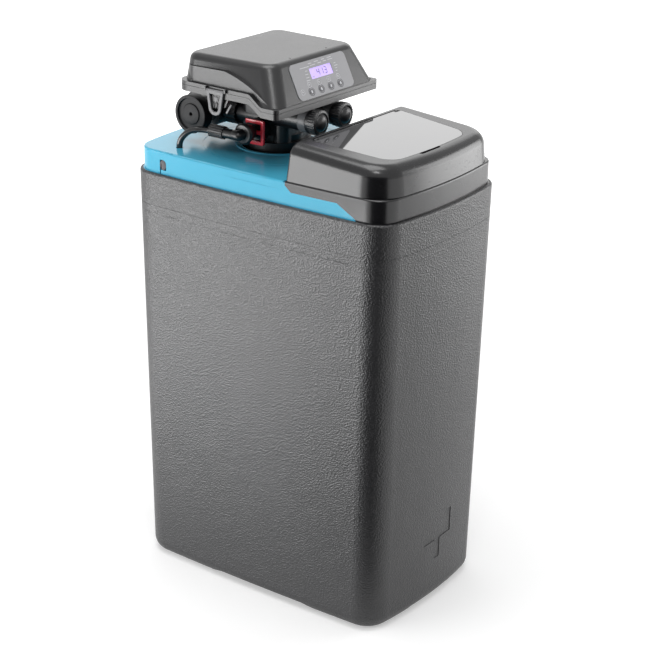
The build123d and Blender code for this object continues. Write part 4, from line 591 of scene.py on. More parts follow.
class Finish(Enum):
    """Every finish on the softener: its name, its two colours, its roughness and its grain."""

    CABINET = Plastic(
        "cabinet_grained_charcoal", (0.019, 0.019, 0.021), (0.006, 0.006, 0.007), 0.35,
        Grain(400.0, 0.00065, 0.6), roughness_spread=0.14, ripple_depth=0.0006, specular=0.7,
        seam_height=0.5995,
    )
    DECK = Plastic(
        "deck_gloss_blue", (0.070, 0.40, 0.57), (0.058, 0.37, 0.54), 0.12,
        Grain(depth=0.000004, shade=0.1), specular=0.32, ripple_depth=0.00012,
    )
    LID = Plastic(
        "lid_satin_black", (0.006, 0.006, 0.007), (0.004, 0.004, 0.005), 0.22,
        Grain(depth=0.00001), ripple_depth=0.00015, specular=0.6,
    )
    HATCH = Plastic(
        "hatch_smoked_gloss", (0.030, 0.030, 0.032), (0.022, 0.022, 0.024), 0.035,
        Grain(depth=0.000001, shade=0.05), roughness_spread=0.03, specular=0.9, coat=0.8,
        coat_roughness=0.02, wear_amount=0.25, ripple_depth=0.00006,
    )
    HEAD = Plastic(
        "head_satin_black", (0.010, 0.010, 0.011), (0.006, 0.006, 0.007), 0.29,
        FINE_GRAIN, ripple_depth=0.00012, specular=0.65,
    )
    # Pale grey for the latch loops and barrel rings. On the catch ribs, plate and brace of the
    # black head base the same grey is a painted highlight: it stands in for the light that those
    # ribs catch.
    TRIM = Plastic(
        "trim_grey_and_painted_highlight", (0.14, 0.14, 0.145), (0.10, 0.10, 0.105), 0.34, FINE_GRAIN
    )
    GROMMET = Plastic(
        "grommet_dark_grey", (0.060, 0.058, 0.064), (0.045, 0.044, 0.048), 0.5, FINE_GRAIN
    )
    VALVE = Plastic(
        "valve_filled_black", (0.009, 0.009, 0.010), (0.005, 0.005, 0.006), 0.30,
        Grain(1200.0, 0.00006, 0.3), specular=0.6,
    )
    KNOB = Plastic(
        "knob_matte_black", (0.012, 0.012, 0.013), (0.007, 0.007, 0.008), 0.52,
        Grain(1200.0, 0.00008, 0.3), specular=0.3,
    )
    TUBE = Plastic(
        "tube_gloss_black", (0.012, 0.012, 0.013), (0.008, 0.008, 0.009), 0.13,
        Grain(depth=0.000008), coat=0.4,
    )
    CLIP = Plastic(
        "clip_bright_red", (0.95, 0.050, 0.080), (0.90, 0.044, 0.070), 0.24,
        Grain(depth=0.000008), coat=0.25,
    )
    OVERLAY = Plastic(
        "overlay_grey_film", (0.31, 0.31, 0.325), (0.28, 0.28, 0.295), 0.34,
        Grain(2200.0, 0.00002, 0.2),
    )
    BUTTON = Plastic(
        "button_soft_grey", (0.115, 0.115, 0.125), (0.095, 0.095, 0.105), 0.36,
        Grain(2200.0, 0.00002),
    )
    PRINT = Plastic(
        "printed_pale_marks", (0.72, 0.72, 0.75), (0.62, 0.62, 0.66), 0.5, PRINT_GRAIN
    )
    PRINT_DARK = Plastic(
        "printed_dark_marks", (0.10, 0.10, 0.11), (0.085, 0.085, 0.095), 0.5, PRINT_GRAIN
    )
    DIGITS = Plastic(
        "screen_digits", (0.12, 0.06, 0.36), (0.10, 0.05, 0.30), 0.3, Grain(2600.0, 0.000005)
    )
    SCREEN = BackLitScreen("screen_violet_light")
    WHITE = Plastic(
        "natural_white_plastic", (0.70, 0.70, 0.66), (0.62, 0.62, 0.57), 0.38,
        Grain(shade=0.2), ripple_depth=0.0002,
    )
    GEAR = Plastic(
        "acetal_ivory", (0.66, 0.62, 0.52), (0.58, 0.54, 0.44), 0.3, Grain(depth=0.00002)
    )
    RUBBER = Plastic(
        "black_rubber", (0.020, 0.020, 0.020), (0.012, 0.012, 0.012), 0.62,
        Grain(1600.0, 0.00008, 0.4), sheen=0.1,
    )
    BOARD = Plastic(
        "board_green_coat", (0.02, 0.16, 0.06), (0.012, 0.10, 0.04), 0.3,
        Grain(500.0, 0.00004, 0.6), coat=0.3,
    )
    STEEL = DrawnSteel("drawn_steel")
    SHELL = WoundShell("wound_tank_shell")
    RESIN = Beads("resin_beads")

    @property
    def material(self) -> bpy.types.Material:
        """The material, once it is built."""
        return bpy.data.materials[self.value.name]


@dataclass(frozen=True)
class Assembly:
    """A sub-assembly, with the CAD nodes that have each finish."""

    name: str
    nodes: dict[Finish, str]

    def dress(self, frame: dict) -> None:
        """Gives the nodes their finishes.
        """
        for finish, names in self.nodes.items():
            for name in names.split():
                node = frame["nodes"][name]
                if not node.material_slots:
                    node.data.materials.append(finish.material)
                for slot in node.material_slots:
                    slot.material = finish.material
        LOG.info("dressed the %s", self.name)


ASSEMBLIES = (
    Assembly(
        "cabinet and brine well",
        {
            Finish.CABINET: "cabinet",
            Finish.DECK: "deck_cover",
            Finish.LID: "front_frame",
            Finish.WHITE: "salt_grid brine_well well_cap brine_valve pickup_tube brine_float",
            Finish.STEEL: "float_rod",
        },
    ),
    Assembly(
        "salt lid",
        {Finish.LID: "salt_lid", Finish.HATCH: "hatch", Finish.STEEL: "hatch_pin"},
    ),
    Assembly(
        "mineral tank",
        {
            Finish.SHELL: "mineral_tank",
            Finish.RUBBER: "tank_boot tank_oring",
            Finish.RESIN: "resin_bed",
            Finish.WHITE: "riser_tube bottom_basket top_basket",
        },
    ),
    Assembly(
        "control valve, brine line and bypass",
        {
            Finish.VALVE: "valve_body injector_cap flow_cap brine_elbow brine_nut drain_fitting"
            " bypass_body bypass_nuts bypass_spool",
            Finish.TUBE: "brine_tube",
            Finish.CLIP: "brine_clip",
            Finish.RUBBER: "cap_seals",
            Finish.WHITE: "seal_stack piston piston_rod meter_turbine",
            Finish.STEEL: "turbine_axle",
        },
    ),
    Assembly(
        "head and drive",
        {
            Finish.HEAD: "head_base head_cover latch_left latch_right",
            Finish.OVERLAY: "display_overlay",
            Finish.BUTTON: "button_1 button_2 button_3 button_4",
            Finish.SCREEN: "screen",
            Finish.BOARD: "circuit_board",
            Finish.STEEL: "board_screws bracket_screws drive_motor",
            Finish.GEAR: "drive_bracket drive_gear motor_pinion",
        },
    ),
)


class Bench:
    """Models pieces with Blender's operators, one at a time, in metres."""

    @staticmethod
    def clear() -> None:
        """Leaves edit mode and deselects everything."""
        if bpy.context.object and bpy.context.object.mode != "OBJECT":
            bpy.ops.object.mode_set(mode="OBJECT")
        bpy.ops.object.select_all(action="DESELECT")

    @staticmethod
    def take(piece: Piece) -> None:
        """Selects one piece alone and makes it the active one.

        Args:
            piece: The object.
        """
        Bench.clear()
        bpy.context.view_layer.objects.active = piece
        piece.select_set(True)

    @staticmethod
    def begin(
        primitive: Callable[..., object],
        name: str,
        middle: Point,
        turn: Point = UNTURNED,
        scale: Point = FULL_SIZE,
        **settings: object,
    ) -> Piece:
        """Adds a primitive with its place, turn and scale in its mesh.

        Args:
            primitive: The operator that adds it.
            name: The piece's name.
            middle: Its middle.
            turn: Its rotation.
            scale: Its scale along each axis, before the turn.
            **settings: The operator's other settings.

        Returns:
            The object.
        """
        Bench.clear()
        primitive(location=middle, rotation=turn, **settings)
        piece = bpy.context.object
        piece.scale = scale
        piece.name = name
        piece.data.name = name
        bpy.ops.object.transform_apply(location=True, rotation=True, scale=True)
        return piece

    @staticmethod
    def edit(piece: Piece) -> bmesh.types.BMesh:
        """Opens a piece in edit mode with nothing selected.

        Args:
            piece: The object to edit.

        Returns:
            Its edit mesh.
        """
        Bench.take(piece)
        bpy.ops.object.mode_set(mode="EDIT")
        bpy.ops.mesh.select_all(action="DESELECT")
        bpy.ops.mesh.select_mode(type="FACE")
        return bmesh.from_edit_mesh(piece.data)

    @staticmethod
    def pick(piece: Piece, test: Callable[[bmesh.types.BMFace], bool]) -> None:
        """Selects some faces of the piece that is open in edit mode, and no others.

        Args:
            piece: The object.
            test: Says whether a face is selected.
        """
        bpy.ops.mesh.select_all(action="DESELECT")
        for face in bmesh.from_edit_mesh(piece.data).faces:
            face.select_set(test(face))
        bmesh.update_edit_mesh(piece.data)

    @staticmethod
    def pull(move: Point) -> None:
        """Extrudes the selected faces.

        Args:
            move: How far, along each axis.
        """
        bpy.ops.mesh.extrude_region_move(TRANSFORM_OT_translate={"value": move})

    @staticmethod
    def steps(steps: Iterable[Pair], outward: Vector) -> None:
        """Insets the selected face again and again, and moves it after each inset.

        Args:
            steps: For each inset, its width and how far the face then moves outwards.
            outward: The direction in which it moves.
        """
        for inset, push in steps:
            bpy.ops.mesh.inset(thickness=inset)
            bpy.ops.transform.translate(value=push * outward)

    @staticmethod
    def hollow(line: float) -> None:
        """Leaves only a line along the rim of the flat piece that is open in edit mode.

        Args:
            line: The line's width.
        """
        bpy.ops.mesh.select_all(action="SELECT")
        bpy.ops.mesh.inset(thickness=line)
        bpy.ops.mesh.delete(type="FACE")

    @staticmethod
    def apply(piece: Piece, kind: str, **settings: object) -> None:
        """Adds a modifier and applies it.

        Args:
            piece: The object.
            kind: The modifier's type.
            **settings: Its properties.
        """
        Bench.take(piece)
        modifier = piece.modifiers.new(kind.lower(), kind)
        for key, value in settings.items():
            setattr(modifier, key, value)
        bpy.ops.object.modifier_apply(modifier=modifier.name)

    @staticmethod
    def bevel(piece: Piece, width: float, segments: int = 2, angle: float = 30.0) -> None:
        """Rounds the sharp edges of a piece.

        Args:
            piece: The object.
            width: How far each edge is cut back.
            segments: How many steps the rounding has.
            angle: Edges under this angle, in degrees, stay as they are.
        """
        settings = {"limit_method": "ANGLE", "angle_limit": math.radians(angle)}
        Bench.apply(piece, "BEVEL", width=width, segments=segments, **settings)

    @staticmethod
    def merge(pieces: list[Piece], name: str) -> Piece:
        """Joins several meshes into one piece.

        Args:
            pieces: The objects.
            name: The joined piece's name.

        Returns:
            The joined object.
        """
        Bench.clear()
        for piece in pieces:
            piece.select_set(True)
        bpy.context.view_layer.objects.active = pieces[0]
        bpy.ops.object.join()
        joined = bpy.context.object
        joined.name = name
        joined.data.name = name
        Bench.clear()
        return joined

    @staticmethod
    def finish(piece: Piece, finish: Finish, body: Body, smooth: float = 35.0) -> None:
        """Closes a piece: smooth shading, finish and the body that it rides on.

        Args:
            piece: The object.
            finish: Its finish.
            body: The body that carries it.
            smooth: Edges under this angle, in degrees, are shaded smooth.
        """
        Bench.take(piece)
        bpy.ops.object.shade_smooth_by_angle(angle=math.radians(smooth))
        piece.data.materials.clear()
        piece.data.materials.append(finish.material)
        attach(piece, body.value)
        Bench.clear()
        LOG.info("made %s on %s", piece.name, body.value)


@dataclass(frozen=True)
class Lamp:
    """One soft rectangular lamp."""

    name: str
    place: Point
    aim: Point
    size: Pair
    power: float

    def hang(self) -> None:
        """Hangs the lamp at its place, facing its aim."""
        data = bpy.data.lights.new(self.name, "AREA")
        data.shape = "RECTANGLE"
        data.size, data.size_y = self.size
        data.energy = self.power
        lamp = bpy.data.objects.new(self.name, data)
        lamp.visible_camera = False
        lamp.location = self.place
        lamp.rotation_mode = "QUATERNION"
        facing = Vector(self.aim) - Vector(self.place)
        lamp.rotation_quaternion = facing.to_track_quat("-Z", "Y")
        bpy.context.collection.objects.link(lamp)


@dataclass(frozen=True)
class Studio:
    """Floor, surround, lamps and the camera at the photograph's angle."""

    azimuth: float = math.radians(-53.857)
    elevation: float = math.radians(21.6441)
    roll: float = math.radians(0.9723)
    focal_pixels: float = 1776.1168
    distance: float = 2.8502206
    shift_pixels: Pair = (-13.1176, 47.0816)
    aim: Point = (0.0, 0.0, 0.331887)
    frame_pixels: int = 650
    sensor: float = 36.0
    surround: float = 0.42
    floor_size: float = 60.0
    floor_colour: Colour = (0.82, 0.82, 0.82)
    floor_lift: float = 0.34
    floor_fade: Pair = (0.9, 3.0)
    card_colour: Colour = (0.012, 0.012, 0.012)
    card_reach: Pair = (0.36, 3.4)
    card_share: float = 0.62
    card_gap: float = 0.004
    card_height: float = 1.5
    lamps: tuple[Lamp, ...] = (
        Lamp("left_softbox", (-1.9, 1.25, 0.55), (0, 0, 0.55), (1.6, 0.8), 25.0),
        Lamp("left_low_softbox", (-1.0, 0.78, 0.10), (0, 0, 0.62), (1.3, 0.16), 7.0),
        Lamp("right_softbox", (2.3, -1.6, 0.85), (0, 0, 0.55), (1.5, 1.6), 32.0),
        Lamp("back_softbox", (2.5, 1.8, 2.0), (0, 0, 0.7), (3.2, 2.0), 18.0),
        Lamp("top_softbox", (-0.2, 0.1, 2.9), (0, 0, 0.7), (1.6, 1.6), 34.0),
        Lamp("camera_softbox", (-1.25, -0.95, 2.55), (0, 0, 0.7), (0.5, 0.5), 9.0),
    )

    @property
    def toward(self) -> Vector:
        """The level direction from the object to the camera."""
        return Vector((math.sin(self.azimuth), -math.cos(self.azimuth), 0.0))

    def camera(self) -> None:
        """Places the camera as the photograph was taken."""
        back = math.cos(self.elevation) * self.toward
        back.z = math.sin(self.elevation)
        right = (-back).cross(Vector((0, 0, 1))).normalized()
        up = right.cross(-back)
        across = math.cos(self.roll) * right + math.sin(self.roll) * up
        over = -math.sin(self.roll) * right + math.cos(self.roll) * up
        scale = self.distance / self.focal_pixels
        place = (
            Vector(self.aim)
            + back * self.distance
            - across * self.shift_pixels[0] * scale
            + over * self.shift_pixels[1] * scale
        )
        data = bpy.data.cameras.new("photograph_camera")
        data.sensor_width = self.sensor
        data.lens = self.focal_pixels / self.frame_pixels * self.sensor
        camera = bpy.data.objects.new("photograph_camera", data)
        turn = Matrix((across, over, back)).transposed()
        camera.matrix_world = Matrix.Translation(place) @ turn.to_4x4()
        bpy.context.collection.objects.link(camera)
        bpy.context.scene.camera = camera

    def world(self) -> None:
        """Makes the surround white for the camera and reflections, and softer as a light."""
        world = bpy.data.worlds.new("studio_surround")
        bpy.context.scene.world = world
        world.use_nodes = True
        world.node_tree.nodes.clear()
        desk = NodeDesk(world.node_tree)
        seen = desk.seen_by("Is Camera Ray", "Is Glossy Ray", "Is Transmission Ray")
        extra = desk.math("MULTIPLY", seen, 1.0 - self.surround)
        level = desk.math("ADD", extra, self.surround)
        background = desk.add("ShaderNodeBackground", {"Strength": level})
        desk.add("ShaderNodeOutputWorld", {"Surface": background.outputs[0]})

    def floor(self) -> None:
        """Lays a wide pale floor that fades into the white surround and keeps the shadow."""
        add = bpy.ops.mesh.primitive_plane_add
        floor = Bench.begin(add, "studio_floor", UNTURNED, size=self.floor_size)
        material, desk = blank_material("studio_floor_paper")
        place = desk.add("ShaderNodeTexCoord").outputs["Object"]
        away = desk.add("ShaderNodeVectorMath", {0: place}, operation="LENGTH").outputs["Value"]
        fade = desk.ramp(away, *self.floor_fade, to=(self.floor_lift, 1.0), smooth=True)
        glow = desk.math("MULTIPLY", desk.seen_by("Is Camera Ray", "Is Glossy Ray"), fade)
        paper = desk.add("ShaderNodeBsdfDiffuse", {"Color": (*self.floor_colour, 1.0)})
        light = desk.add("ShaderNodeEmission", {"Strength": glow})
        both = desk.add("ShaderNodeAddShader", {0: paper.outputs[0], 1: light.outputs[0]})
        desk.add("ShaderNodeOutputMaterial", {"Surface": both.outputs[0]})
        floor.data.materials.append(material)
        Bench.clear()

    def card(self) -> None:
        """Lays a black card before the camera, seen only in reflections, as studios do."""
        toward = self.toward
        aside = Vector((-toward.y, toward.x, 0.0))
        add = bpy.ops.mesh.primitive_plane_add
        card = Bench.begin(add, "studio_black_card", UNTURNED, size=1.0)
        mesh = Bench.edit(card)
        near, far = self.card_reach
        for vertex in mesh.verts:
            out = near if vertex.co.x < 0 else far
            half = out * self.card_share
            across = half if vertex.co.y > 0 else -half
            vertex.co = toward * out + aside * across + Vector((0, 0, self.card_gap))
        bmesh.update_edit_mesh(card.data)
        bpy.ops.mesh.select_mode(type="EDGE")
        for edge in mesh.edges:
            edge.select_set(all(v.co.to_2d().length > 0.9 * far for v in edge.verts))
        bmesh.update_edit_mesh(card.data)
        Bench.pull((0.0, 0.0, self.card_height))
        Bench.clear()
        material, desk = blank_material("studio_black_cloth")
        desk.surface({"Base Color": (*self.card_colour, 1.0), "Roughness": 0.9})
        card.data.materials.append(material)
        for ray in ("camera", "diffuse", "transmission", "volume_scatter", "shadow"):
            setattr(card, f"visible_{ray}", False)

    def build(self) -> None:
        """Builds the whole studio."""
        bpy.context.scene.view_settings.view_transform = "Standard"
        self.camera()
        self.world()
        self.floor()
        self.card()
        for lamp in self.lamps:
            lamp.hang()
        LOG.info("studio is ready")


@dataclass(frozen=True)
class DrawingBoard:
    """The sloped display face as a flat board, where marks are drawn before they are lifted."""

    origin: Point = (0.0, -0.0235, 0.792)
    run: float = 25.5
    rise: float = 52.0
    mark_height: float = 0.00012
    oval_vertices: int = 48

    def lift(self, piece: Piece, out: float) -> None:
        """Moves a piece from the board onto the face, in its mesh.

        Args:
            piece: The piece, drawn flat.
            out: How far it stands out of the face.
        """
        length = math.hypot(self.run, self.rise)
        up = Vector((0.0, self.run / length, self.rise / length))
        normal = Vector((0.0, -self.rise / length, self.run / length))
        turn = Matrix((Vector((1.0, 0.0, 0.0)), up, normal)).transposed().to_4x4()
        piece.data.transform(Matrix.Translation(Vector(self.origin) + normal * out) @ turn)

    def draw(
        self, place: Pair, size: Pair, corner: float = 0.0, steps: int = 3, line: float = 0.0
    ) -> Piece:
        """Draws one mark: a rectangle with rounded corners, or an oval.

        Args:
            place: Its middle, across and up the board.
            size: Its width and height.
            corner: How far a rectangle's corners are cut back, or 0 for an oval.
            steps: How many steps the rounding of a corner has.
            line: The width of its line, or 0 for a filled mark.

        Returns:
            The mark.
        """
        add, shape = bpy.ops.mesh.primitive_plane_add, {"size": 1.0}
        if not corner:
            add = bpy.ops.mesh.primitive_circle_add
            shape = {"vertices": self.oval_vertices, "radius": 0.5, "fill_type": "NGON"}
        piece = Bench.begin(add, "mark", (*place, 0.0), scale=(*size, 1.0), **shape)
        Bench.edit(piece)
        bpy.ops.mesh.select_all(action="SELECT")
        if corner:
            bpy.ops.mesh.bevel(offset=corner, segments=steps, affect="VERTICES")
        if line:
            Bench.hollow(line)
        bpy.ops.mesh.select_all(action="SELECT")
        Bench.pull((0.0, 0.0, self.mark_height))
        Bench.clear()
        return piece


@dataclass(frozen=True)
class Display:
    """The marks on the display film and the digits behind the window."""

    board: DrawingBoard = field(default_factory=DrawingBoard)
    film: float = 0.0008
    window: float = 0.00002
    weld: float = 0.000001
    rounding: float = 0.45
    segment: float = 0.0044
    stroke: float = 0.0011
    spread: float = 0.3
    pitch: float = 2.05
    lead: float = 0.75
    screen_middle: Pair = (0.002, 0.0365)
    dot: tuple[float, float, float] = (-0.0205, -0.0052, 0.0016)
    shown: str = "413"
    segments: dict[str, str] = field(
        default_factory=lambda: {"1": "bc", "3": "abcdg", "4": "bcfg"},
    )
    line_height: float = 0.0007
    lines: tuple[tuple[float, float, float], ...] = (
        (-0.0325, 0.0425, 0.005), (-0.0335, 0.0375, 0.008), (-0.0340, 0.0325, 0.007),
        (-0.0345, 0.0282, 0.009), (0.0385, 0.0425, 0.005), (0.0400, 0.0385, 0.008),
        (0.0385, 0.0345, 0.005), (0.0375, 0.0305, 0.004), (-0.034, 0.0480, 0.022),
        (-0.013, 0.0487, 0.013), (0.004, 0.0492, 0.009), (0.017, 0.0497, 0.008),
        (0.031, 0.0500, 0.012), (-0.019, 0.0520, 0.008), (-0.003, 0.0527, 0.010),
        (0.014, 0.0530, 0.007), (0.030, 0.0532, 0.010),
    )
    sign_size: Pair = (0.0086, 0.0086)
    sign_corner: float = 0.0036
    sign_line: float = 0.0004
    sign_bars: tuple[tuple[float, ...], ...] = (
        (0.0, 0.0, 0.0030, 0.0008), (-0.0008, 0.0014, 0.0014, 0.0008),
    )
    signs: tuple[Pair, ...] = (
        (-0.0565, 0.0135), (-0.036, 0.0215), (-0.012, 0.0215), (0.012, 0.0215), (0.036, 0.0215),
    )

    def bar(self, across: float, up: float, width: float, height: float) -> Piece:
        """Draws one bar with rounded ends.

        Args:
            across: Its middle, across the board.
            up: Its middle, up the board.
            width: Its width.
            height: Its height.

        Returns:
            The bar.
        """
        corner = self.rounding * min(width, height)
        return self.board.draw((across, up), (width, height), corner)

    def print(self, pieces: list[Piece], name: str, out: float, finish: Finish) -> None:
        """Joins drawn marks and lifts them onto the face.

        Args:
            pieces: The marks.
            name: The joined piece's name.
            out: How far it stands out of the face.
            finish: Its finish.
        """
        piece = Bench.merge(pieces, name)
        self.board.lift(piece, out)
        Bench.apply(piece, "WELD", merge_threshold=self.weld)
        Bench.finish(piece, finish, Body.COVER)

    def digits(self) -> None:
        """Makes the digits of the screen from their segments, and the dot before them."""
        tall, flat = (self.stroke, self.segment), (self.segment, self.stroke)
        reach = self.segment + self.stroke * self.spread
        aside = self.segment / 2 + self.stroke * self.spread
        layout = {
            "a": (0.0, reach, flat),
            "g": (0.0, 0.0, flat),
            "d": (0.0, -reach, flat),
            "f": (-aside, reach / 2, tall),
            "b": (aside, reach / 2, tall),
            "e": (-aside, -reach / 2, tall),
            "c": (aside, -reach / 2, tall),
        }
        middle, level = self.screen_middle
        bars = []
        for index, digit in enumerate(self.shown):
            start = middle + (index - self.lead) * self.pitch * self.segment
            for letter in self.segments[digit]:
                across, up, size = layout[letter]
                bars.append(self.bar(start + across, level + up, *size))
        across, up, side = self.dot
        bars.append(self.bar(middle + across, level + up, side, side))
        self.print(bars, "screen_digits", self.window, Finish.DIGITS)

    def marks(self) -> None:
        """Makes the pale print: bars round the screen and outlined signs above the keys."""
        pieces = [self.bar(*place, width, self.line_height) for *place, width in self.lines]
        for across, up in self.signs:
            outline = {"corner": self.sign_corner, "steps": 5, "line": self.sign_line}
            pieces.append(self.board.draw((across, up), self.sign_size, **outline))
            for aside, over, width, height in self.sign_bars:
                pieces.append(self.bar(across + aside, up + over, width, height))
        self.print(pieces, "printed_marks", self.film, Finish.PRINT)

    def build(self) -> None:
        """Makes every mark of the display."""
        self.digits()
        self.marks()


@dataclass(frozen=True)
class KeyMarks:
    """The dark oval line printed round each key and the small mark on the key itself."""

    board: DrawingBoard = field(default_factory=DrawingBoard)
    spacing: float = 0.024
    height: float = 0.0108
    ring: Pair = (0.0146, 0.0128)
    mark: Pair = (0.0030, 0.0046)
    line: float = 0.0009
    film: float = 0.0008
    key_rise: float = 0.00142
    bodies: tuple[Body, ...] = (Body.KEY_1, Body.KEY_2, Body.KEY_3, Body.KEY_4)

    def build(self) -> None:
        """Prints the four lines on the film and the four marks on the keys."""
        board = self.board
        places = [((n - 1.5) * self.spacing, self.height) for n in range(len(self.bodies))]
        rings = [board.draw(place, self.ring, line=self.line) for place in places]
        lines = Bench.merge(rings, "key_lines")
        board.lift(lines, self.film)
        Bench.finish(lines, Finish.PRINT_DARK, Body.COVER)
        for number, (place, body) in enumerate(zip(places, self.bodies), start=1):
            mark = board.draw(place, self.mark)
            mark.name = mark.data.name = f"key_mark_{number}"
            board.lift(mark, self.key_rise)
            Bench.finish(mark, Finish.PRINT, body)


@dataclass(frozen=True)
class Slat:
    """One thin slat on the base tray's side, by its middle, size and lean in degrees."""

    shift: float
    height: float
    width: float
    length: float
    lean: float = 0.0


@dataclass(frozen=True)
class Latch:
    """A wire-like loop that hangs at one side of the cover, and the catch it snaps over."""

    side: int
    name: str
    body: Body
    middle: float = 0.090
    top: float = 0.8035
    low: float = 0.7665
    width_top: float = 0.033
    width_low: float = 0.020
    plane: float = 0.1291
    thickness: float = 0.003
    corner: float = 0.009
    strap: float = 0.0052
    barrel: float = 0.0015
    barrel_lift: float = 0.0005
    slat_depth: float = 0.0014
    slats: tuple[Slat, ...] = (
        Slat(-0.0052, 0.7808, 0.0011, 0.0085, 14.0),
        Slat(-0.0019, 0.7808, 0.0011, 0.0085, 14.0),
        Slat(0.0014, 0.7808, 0.0011, 0.0085, 14.0),
        Slat(0.0047, 0.7808, 0.0011, 0.0085, 14.0),
        Slat(0.0, 0.7905, 0.0085, 0.0065),
        Slat(-0.0245, 0.7795, 0.0030, 0.0170, -32.0),
    )

    def loop(self) -> Piece:
        """Makes the tapered loop.

        Returns:
            The loop.
        """
        level = (self.top + self.low) / 2
        piece = Bench.begin(
            bpy.ops.mesh.primitive_plane_add,
            "latch_loop",
            (self.side * self.plane, self.middle, level),
            turn=ALONG_X,
            scale=(self.top - self.low, self.width_top, 1.0),
            size=1.0,
        )
        mesh = Bench.edit(piece)
        bpy.ops.mesh.select_mode(type="VERT")
        for vertex in mesh.verts:
            vertex.select_set(vertex.co.z < level)
        bmesh.update_edit_mesh(piece.data)
        taper = (1.0, self.width_low / self.width_top, 1.0)
        bpy.ops.transform.resize(value=taper, center_override=(0.0, self.middle, 0.0))
        bpy.ops.mesh.bevel(offset=self.corner, segments=8, affect="VERTICES")
        bpy.ops.mesh.select_mode(type="FACE")
        Bench.hollow(self.strap)
        Bench.apply(piece, "SOLIDIFY", thickness=self.thickness, offset=0.0)
        Bench.bevel(piece, 0.0007, segments=3, angle=50.0)
        return piece

    def hang(self) -> None:
        """Makes the loop with the barrel that it hangs on."""
        loop = self.loop()
        barrel = Bench.begin(
            bpy.ops.mesh.primitive_cylinder_add,
            "latch_barrel",
            (self.side * self.plane, self.middle, self.top + self.barrel_lift),
            turn=ALONG_Y,
            vertices=24,
            radius=self.barrel,
            depth=self.width_top,
        )
        Bench.bevel(barrel, 0.0004)
        piece = Bench.merge([loop, barrel], f"latch_loop_{self.name}")
        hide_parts(f"latch_{self.name}")
        Bench.finish(piece, Finish.TRIM, self.body)

    def catch(self) -> None:
        """Makes the slanted ribs and the plate behind the loop, and the brace beside it, in the
        pale trim grey: a painted highlight on parts of the black base.
        """
        wall = self.side * (self.plane - self.thickness / 2 - self.slat_depth / 2)
        slats = []
        for slat in self.slats:
            piece = Bench.begin(
                bpy.ops.mesh.primitive_cube_add,
                "slat",
                (wall, self.middle + slat.shift, slat.height),
                turn=(-math.radians(slat.lean), 0, 0),
                scale=(self.slat_depth, slat.width, slat.length),
                size=1.0,
            )
            Bench.bevel(piece, 0.00035)
            slats.append(piece)
        # The trim grey on these ribs of the black base is a painted highlight.
        Bench.finish(Bench.merge(slats, f"catch_ribs_{self.name}"), Finish.TRIM, Body.BASE)


class Latches:
    """The two latches, left and right."""

    def build(self) -> None:
        """Makes both loops and then what they snap over."""
        latches = (Latch(-1, "left", Body.LEFT_LATCH), Latch(1, "right", Body.RIGHT_LATCH))
        for latch in latches:
            latch.hang()
        for latch in latches:
            latch.catch()


